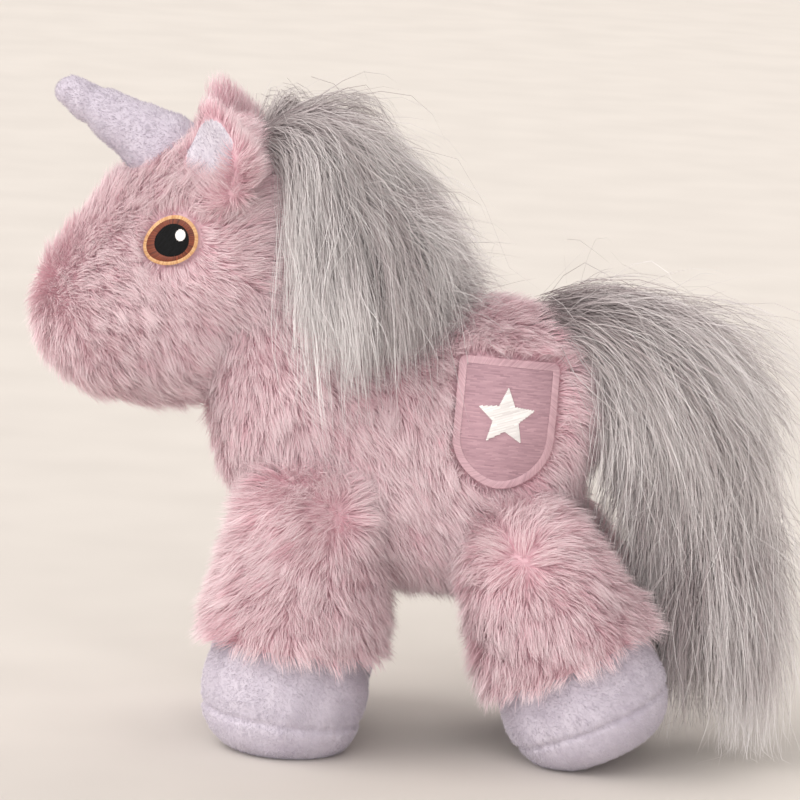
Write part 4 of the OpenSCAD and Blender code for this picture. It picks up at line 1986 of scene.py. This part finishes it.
# The room that long hair may fill, axis by axis in millimetres, and how wide its soft edge is.
HAIR_ROOM = ((0, -140.0, 148.0), (1, -70.0, 70.0), (2, 1.0, 248.0))
HAIR_BRUSH = 9.0
HAIRS_IN_A_LOCK = 130


class Hairdresser:
    """Grows long hair from roots in locks, and lets it fall over the lumps of the body."""

    def __init__(self, shop: Workshop, lumps: list[list[Lump]], floor: float = 1.5) -> None:
        """Sets what the hair falls over.

        Args:
            shop: The workshop.
            lumps: Groups of lumps; neighbours in a group are joined.
            floor: How low hair may hang, in millimetres.
        """
        self.shop = shop
        self.floor = floor
        balls = []
        for group in lumps:
            for a, b in zip(group, group[1:], strict=False):
                for t in np.linspace(0, 1, 7):
                    balls.append([*(a.at * (1 - t) + b.at * t), a.r * (1 - t) + b.r * t])
        self.balls = np.array(balls)

    def keep_out(self, p: np.ndarray, clear: float) -> np.ndarray:
        """Moves points out of the body and up off the floor."""
        p = p.copy()
        for ball in self.balls:
            out = p - ball[:3]
            far = np.linalg.norm(out, axis=1, keepdims=True)
            want = ball[3] + clear
            p = np.where(far < want, ball[:3] + out / np.maximum(far, 1e-6) * want, p)
        p[:, 2] = np.maximum(p[:, 2], self.floor)
        return p

    def guides(
        self,
        roots: np.ndarray,
        ways: np.ndarray,
        length: np.ndarray,
        weight: np.ndarray,
        style: LongHair,
        seed: int,
    ) -> np.ndarray:
        """Lets the middle of each lock fall.

        Args:
            roots: Where the locks are rooted, in millimetres.
            ways: Which way each one starts.
            length: Each one's length.
            weight: How fast each one bends down, per millimetre.
            style: How the hair falls.
            seed: Picks its waves.

        Returns:
            Points of each lock: locks by steps + 1 by 3.
        """
        fine = 4 * style.steps
        step = (length / fine)[:, None]
        p, way = roots.copy(), unit(ways)
        path = [p]
        for k in range(fine):
            wave = (ripple(p, 15.0, seed) + ripple(p, 50.0, seed + 3) * 0.3) * style.wave
            way = unit(way + (wave - UP * weight[:, None]) * step)
            new = self.keep_out(p + way * step, style.clear * min(1.0, k / 6))
            way = unit(way * 0.35 + unit(new - p) * 0.65)
            p = p + unit(new - p) * step
            path.append(p)
        return np.stack(path, axis=1)[:, ::4]

    def grow(
        self,
        soup: Soup,
        roots: np.ndarray,
        ways: np.ndarray,
        hairs: int,
        style: LongHair,
        seed: int,
        long: np.ndarray | float = 1.0,
        heavy: np.ndarray | float = 1.0,
    ) -> None:
        """Grows locks of hair.

        Args:
            soup: Where the faces go.
            roots: Where the locks are rooted.
            ways: Which way each one starts.
            hairs: How many hairs in a lock.
            style: How the hair falls.
            seed: The seed of its chances.
            long: Each lock's length, as a share of the style's.
            heavy: Each lock's weight, as a share of the style's.
        """
        rng = np.random.default_rng(seed)
        count = len(roots)
        length = style.length * long * np.clip(1 + style.spread * rng.normal(size=count), 0.5, 1.4)
        weight = style.weight * heavy * np.ones(count)
        guide = self.guides(roots, ways, length, weight, style, seed)
        tone = np.clip(0.45 + 0.24 * rng.normal(size=count), 0, 1)
        mine = np.repeat(np.arange(count), hairs)
        total = len(mine)
        share = np.linspace(0, 1, style.steps + 1)
        ball = unit(rng.normal(size=(total, 3))) * rng.random((total, 1)) ** 0.5
        taper = 1 - (1 - style.gather) * share[None, :, None] ** 1.2
        spread = ball[:, None] * style.lock * taper
        drift = unit(rng.normal(size=(total, 3)))[:, None] * (share**1.6)[None, :, None]
        stray = np.where(rng.random(total) < 0.12, 2.6, 1.0)[:, None, None]
        curl = rng.uniform(0.7, 2.4, total)[:, None]
        phase = rng.uniform(0, 2 * math.pi, (total, 1))
        bow = np.sin(curl * share[None, :] * math.pi + phase)[:, :, None] - np.sin(phase)[:, :, None]
        side = unit(rng.normal(size=(total, 3)))[:, None]
        path = guide[mine] + spread + (drift + 0.5 * side * bow) * style.frizz * stray
        shorter = rng.uniform(0.68, 1.0, total)
        path = self.cut_back(path, shorter)
        flat = path.reshape(-1, 3)
        lifted = self.keep_out(flat, 0.8)
        held = (share > 0.12)[None, :, None]
        path = self.kept_near(np.where(held, lifted.reshape(path.shape), path))
        run = path[:, -1] - path[:, 0]
        across = unit(np.cross(run, rng.normal(size=(total, 3))))
        width = style.width * rng.uniform(0.7, 1.3, total)
        shade = np.clip(tone[mine] + 0.16 * rng.normal(size=total), 0, 1)
        ribbons(soup, path, across, width, shade)

    @staticmethod
    def kept_near(path: np.ndarray) -> np.ndarray:
        """Brushes hair that flies out too far back in, more gently the less it strays."""
        path = path.copy()
        for axis, low, high in HAIR_ROOM:
            for sign, edge in ((1.0, high), (-1.0, -low)):
                past = sign * path[..., axis] - (edge - HAIR_BRUSH)
                near = edge - HAIR_BRUSH * np.exp(-np.maximum(past, 0.0) / HAIR_BRUSH)
                path[..., axis] = np.where(past > 0, sign * near, path[..., axis])
        return path

    @staticmethod
    def cut_back(path: np.ndarray, share: np.ndarray) -> np.ndarray:
        """Shortens each hair to a share of its length, with as many points as before."""
        count, points = path.shape[:2]
        want = np.linspace(0, 1, points)[None, :] * share[:, None] * (points - 1)
        low = np.minimum(want.astype(int), points - 2)
        part = (want - low)[:, :, None]
        rows = np.arange(count)[:, None]
        return path[rows, low] * (1 - part) + path[rows, low + 1] * part


def along_line(points: np.ndarray, share: np.ndarray) -> tuple[np.ndarray, np.ndarray]:
    """Places on a line of straight stretches, and which way it runs there.

    Args:
        points: The line's corners.
        share: How far along it each place is, from 0 to 1.

    Returns:
        The places and the unit directions.
    """
    far = np.concatenate([[0], np.cumsum(np.linalg.norm(np.diff(points, axis=0), axis=1))])
    want = share * far[-1]
    ahead = np.clip(want + 2.0, 0, far[-1])
    behind = np.clip(want - 2.0, 0, far[-1])
    at, front, back = (
        np.column_stack([np.interp(w, far, points[:, k]) for k in range(3)])
        for w in (want, ahead, behind)
    )
    return at, unit(front - back)


@dataclass(frozen=True)
class Strip:
    """One strip of long pile in the mane.

    Attributes:
        name: The piece's name, less its ending.
        body: The body that it rides on.
        node: The node that it stands for.
        line: The strip's middle from front to back, in millimetres.
        style: How its hair falls.
        seed: The seed of its chances.
        trim: The length at the strip's two ends, as a share of the style's.
        lean: How much more its locks set off backwards.
    """

    name: str
    body: str
    node: str
    line: tuple[tuple[float, float, float], ...]
    style: LongHair
    seed: int
    trim: tuple[float, float]
    lean: float


POLL_STRIP = Strip(
    "mane_poll",
    "head",
    "head_mane",
    ((-59, 0, 211), (-51, 0, 206), (-45, 0, 200), (-39, 0, 193)),
    POLL_HAIR,
    800,
    (0.95, 1.0),
    0.22,
)
CREST_STRIP = Strip(
    "mane_crest",
    "torso",
    "neck_mane",
    ((-36, 0, 190), (-26, 0, 183), (-18, 0, 173), (-13, 0, 161), (-8, 0, 152), (0, 0, 151)),
    CREST_HAIR,
    820,
    (1.0, 0.5),
    -0.1,
)


@dataclass
class Mane:
    """The mane: a strip of long pile over the poll, and one down the crest of the neck."""

    shop: Workshop
    dresser: Hairdresser
    half_width: float = 9.0
    locks: int = 190

    def build(self) -> None:
        """Makes both strips."""
        for strip in (POLL_STRIP, CREST_STRIP):
            self.sew(strip)

    def sew(self, strip: Strip) -> None:
        """Grows one strip's hair, parted along its middle and brushed back and down both sides."""
        locks = self.locks
        line = np.array(strip.line, float)
        rng = np.random.default_rng(strip.seed)
        share = rng.random(locks)
        at, run = along_line(line, share)
        side = np.array([0.0, 1.0, 0.0])
        up = unit(np.cross(run, side))
        up = up * np.sign(up[:, 2:] + 1e-9)
        off = rng.uniform(-1, 1, locks)
        roots = at + side * (off * self.half_width)[:, None] - up * (1.5 + 2.5 * off[:, None] ** 2)
        turn = off * math.radians(88) + rng.normal(size=locks) * 0.18
        back = np.array([1.0, 0.0, 0.1])
        ways = (
            up * (0.45 + 0.5 * np.cos(turn))[:, None]
            + back * (0.38 * np.cos(turn) + strip.lean)[:, None]
            + side * np.sin(turn)[:, None] * 0.85
            + rng.normal(size=(locks, 3)) * 0.2
        )
        soup = Soup()
        long = strip.trim[0] + (strip.trim[1] - strip.trim[0]) * share
        heavy = 1 + 0.9 * np.abs(off)
        self.dresser.grow(
            soup, roots, ways, HAIRS_IN_A_LOCK, strip.style, strip.seed + 1, long, heavy
        )
        piece = soup.piece(f"{strip.name}_hair", [self.shop.finishes.hair])
        self.shop.put(piece, strip.body, "long_pile", (strip.node,))


@dataclass
class Tail:
    """The tail: a rolled root, and long pile on all sides of the core that hangs from it."""

    shop: Workshop
    dresser: Hairdresser
    core: tuple[tuple[float, float, float], ...] = (
        (44, 0, 151), (60, 0, 152), (78, 0, 146), (93, 0, 130), (102, 0, 104), (106, 0, 62),
    )
    locks: int = 240

    def build(self) -> None:
        """Makes the root and the hair."""
        line = np.array(self.core, float)
        rng = np.random.default_rng(900)
        share = rng.random(self.locks) ** 1.25
        at, run = along_line(line, share)
        around = unit(tangent(rng.normal(size=(self.locks, 3)), run))
        around[:, 0] += 0.12
        roots = at + around * 4.0
        ways = run * 0.85 + around * (0.5 + 0.35 * smooth_step(0.0, 0.3, share))[:, None]
        ways += rng.normal(size=(self.locks, 3)) * 0.1
        soup = Soup()
        self.dresser.grow(soup, roots, ways, HAIRS_IN_A_LOCK, TAIL_HAIR, 901)
        piece = soup.piece("tail_long_hair", [self.shop.finishes.hair])
        self.shop.put(piece, "tail", "long_pile", ("tail_hair",))
        low, high = (np.array(corner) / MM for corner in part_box("tail_root"))
        middle = (low + high) / 2
        form = sewn_form([[Lump(*(middle - [3, 0, 0]), 6.5), Lump(*(middle + [5, 0, 1]), 6.0)]], 1.6, 3)
        root = fur_piece(
            "tail_root_fur", form, EAR_FUR, Flow((1, 0, 0), seed=91), [],
            self.shop.finishes.pink, 905,
        )
        self.shop.put(root, "tail", "fur_pile", ("tail_root",), 0.8)


# ---------------------------------------------------------------------------------------------
# The studio
# ---------------------------------------------------------------------------------------------


@dataclass
class Studio:
    """A plain pale floor, soft lights and the camera."""

    aim: tuple[float, float, float] = (-6.0, -20.0, 124.5)
    azimuth: float = 0.5
    elevation: float = 9.5
    roll: float = 3.3
    distance: float = 1900.0
    view: float = 280.0

    def build(self, floor: bpy.types.Material) -> None:
        """Sets up the room.

        Args:
            floor: The floor's material.
        """
        self.lay_floor(floor)
        self.hang_light("window", (-900, -250, 900), 50.0, 1.45, "#fffaf4")
        self.hang_light("front_fill", (-350, -1100, 300), 80.0, 2.3, "#fffdfb")
        self.hang_light("rear_rim", (400, 850, 800), 40.0, 0.6, "#fff8f2")
        world = bpy.data.worlds.new("studio")
        world.use_nodes = True
        backdrop = world.node_tree.nodes["Background"]
        backdrop.inputs["Color"].default_value = to_linear("#f3ede8")
        backdrop.inputs["Strength"].default_value = 0.72
        bpy.context.scene.world = world
        bpy.context.scene.view_settings.view_transform = "Standard"
        self.place_camera()

    def lay_floor(self, material: bpy.types.Material) -> None:
        """Makes the floor: a wide sheet of board with a soft rise far behind."""
        width, depth = 6.0, 3.0
        rise = [(y, 0.0) for y in np.linspace(-depth, depth, 13)]
        rise += [(depth + math.sin(a) * 1.5, 1.5 - math.cos(a) * 1.5) for a in np.linspace(0.15, 1.3, 9)]
        bm = bmesh.new()
        rows = [[bm.verts.new((x, y, z)) for x in (-width, width)] for y, z in rise]
        for near, far in zip(rows, rows[1:], strict=False):
            bm.faces.new([near[0], near[1], far[1], far[0]])
        mesh = bpy.data.meshes.new("floor")
        bm.to_mesh(mesh)
        bm.free()
        mesh.materials.append(material)
        floor = bpy.data.objects.new("floor", mesh)
        bpy.context.scene.collection.objects.link(floor)

    def hang_light(
        self, name: str, at: tuple[float, float, float], spread: float, power: float, colour: str
    ) -> None:
        """Hangs a soft, distant light that falls evenly on the whole floor.

        Args:
            name: The light's name.
            at: Where it shines from, towards the middle.
            spread: How wide it looks from the toy, in degrees: wider is softer.
            power: Its power in watts a square metre.
            colour: Its sRGB colour.
        """
        data = bpy.data.lights.new(name, "SUN")
        data.angle = math.radians(spread)
        data.energy = power
        data.color = to_linear(colour)[:3]
        light = bpy.data.objects.new(name, data)
        light.location = Vector(at) * MM
        light.rotation_euler = Vector(at).to_track_quat("Z", "Y").to_euler()
        bpy.context.scene.collection.objects.link(light)

    def place_camera(self) -> None:
        """Puts the camera at its angle, its distance and its small roll."""
        az, el = math.radians(self.azimuth), math.radians(self.elevation)
        back = Vector((math.sin(az) * math.cos(el), -math.cos(az) * math.cos(el), math.sin(el)))
        data = bpy.data.cameras.new("camera")
        data.sensor_width = 36.0
        data.lens = 36.0 * self.distance / self.view
        data.clip_end = 100.0
        camera = bpy.data.objects.new("camera", data)
        look = back.to_track_quat("Z", "Y").to_matrix().to_4x4()
        spin = Matrix.Rotation(math.radians(self.roll), 4, "Z")
        place = Matrix.Translation((Vector(self.aim) + back * self.distance) * MM)
        camera.matrix_world = place @ look @ spin
        bpy.context.scene.collection.objects.link(camera)
        bpy.context.scene.camera = camera


def main() -> None:
    """Builds the toy round the frame."""
    logging.basicConfig(level=logging.INFO, format="%(message)s")
    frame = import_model()
    joints = {j["name"]: np.array(j["pos_m"]) / MM for j in frame["joints"]}
    shop = Workshop(Finishes(), joints)
    Studio().build(shop.finishes.floor)
    torso = Torso(shop)
    torso.build()
    head = Head(shop)
    head.build()
    for side in Side:
        hinge = shop.joints["leg_swing_front_left"] * [1, 0, 1]
        Leg(shop, End.FRONT, side, hinge, -5.0, 25.0, 44.0, (13.0, 8.0)).build()
        hinge = shop.joints["leg_swing_rear_left"] * [1, 0, 1]
        Leg(shop, End.REAR, side, hinge, 26.0, 24.0, 40.0, (0.0, 3.0)).build()
        Ear(shop, side).build()
    Horn(shop).build()
    dresser = Hairdresser(
        shop,
        [
            [torso.chest, torso.rump],
            [torso.chest, torso.neck_middle, torso.neck_top],
            [torso.rump, torso.dock],
            [head.cranium, head.nape],
            [head.cranium, head.muzzle],
        ],
    )
    Mane(shop, dresser).build()
    Tail(shop, dresser).build()


if __name__ == "__main__":
    main()
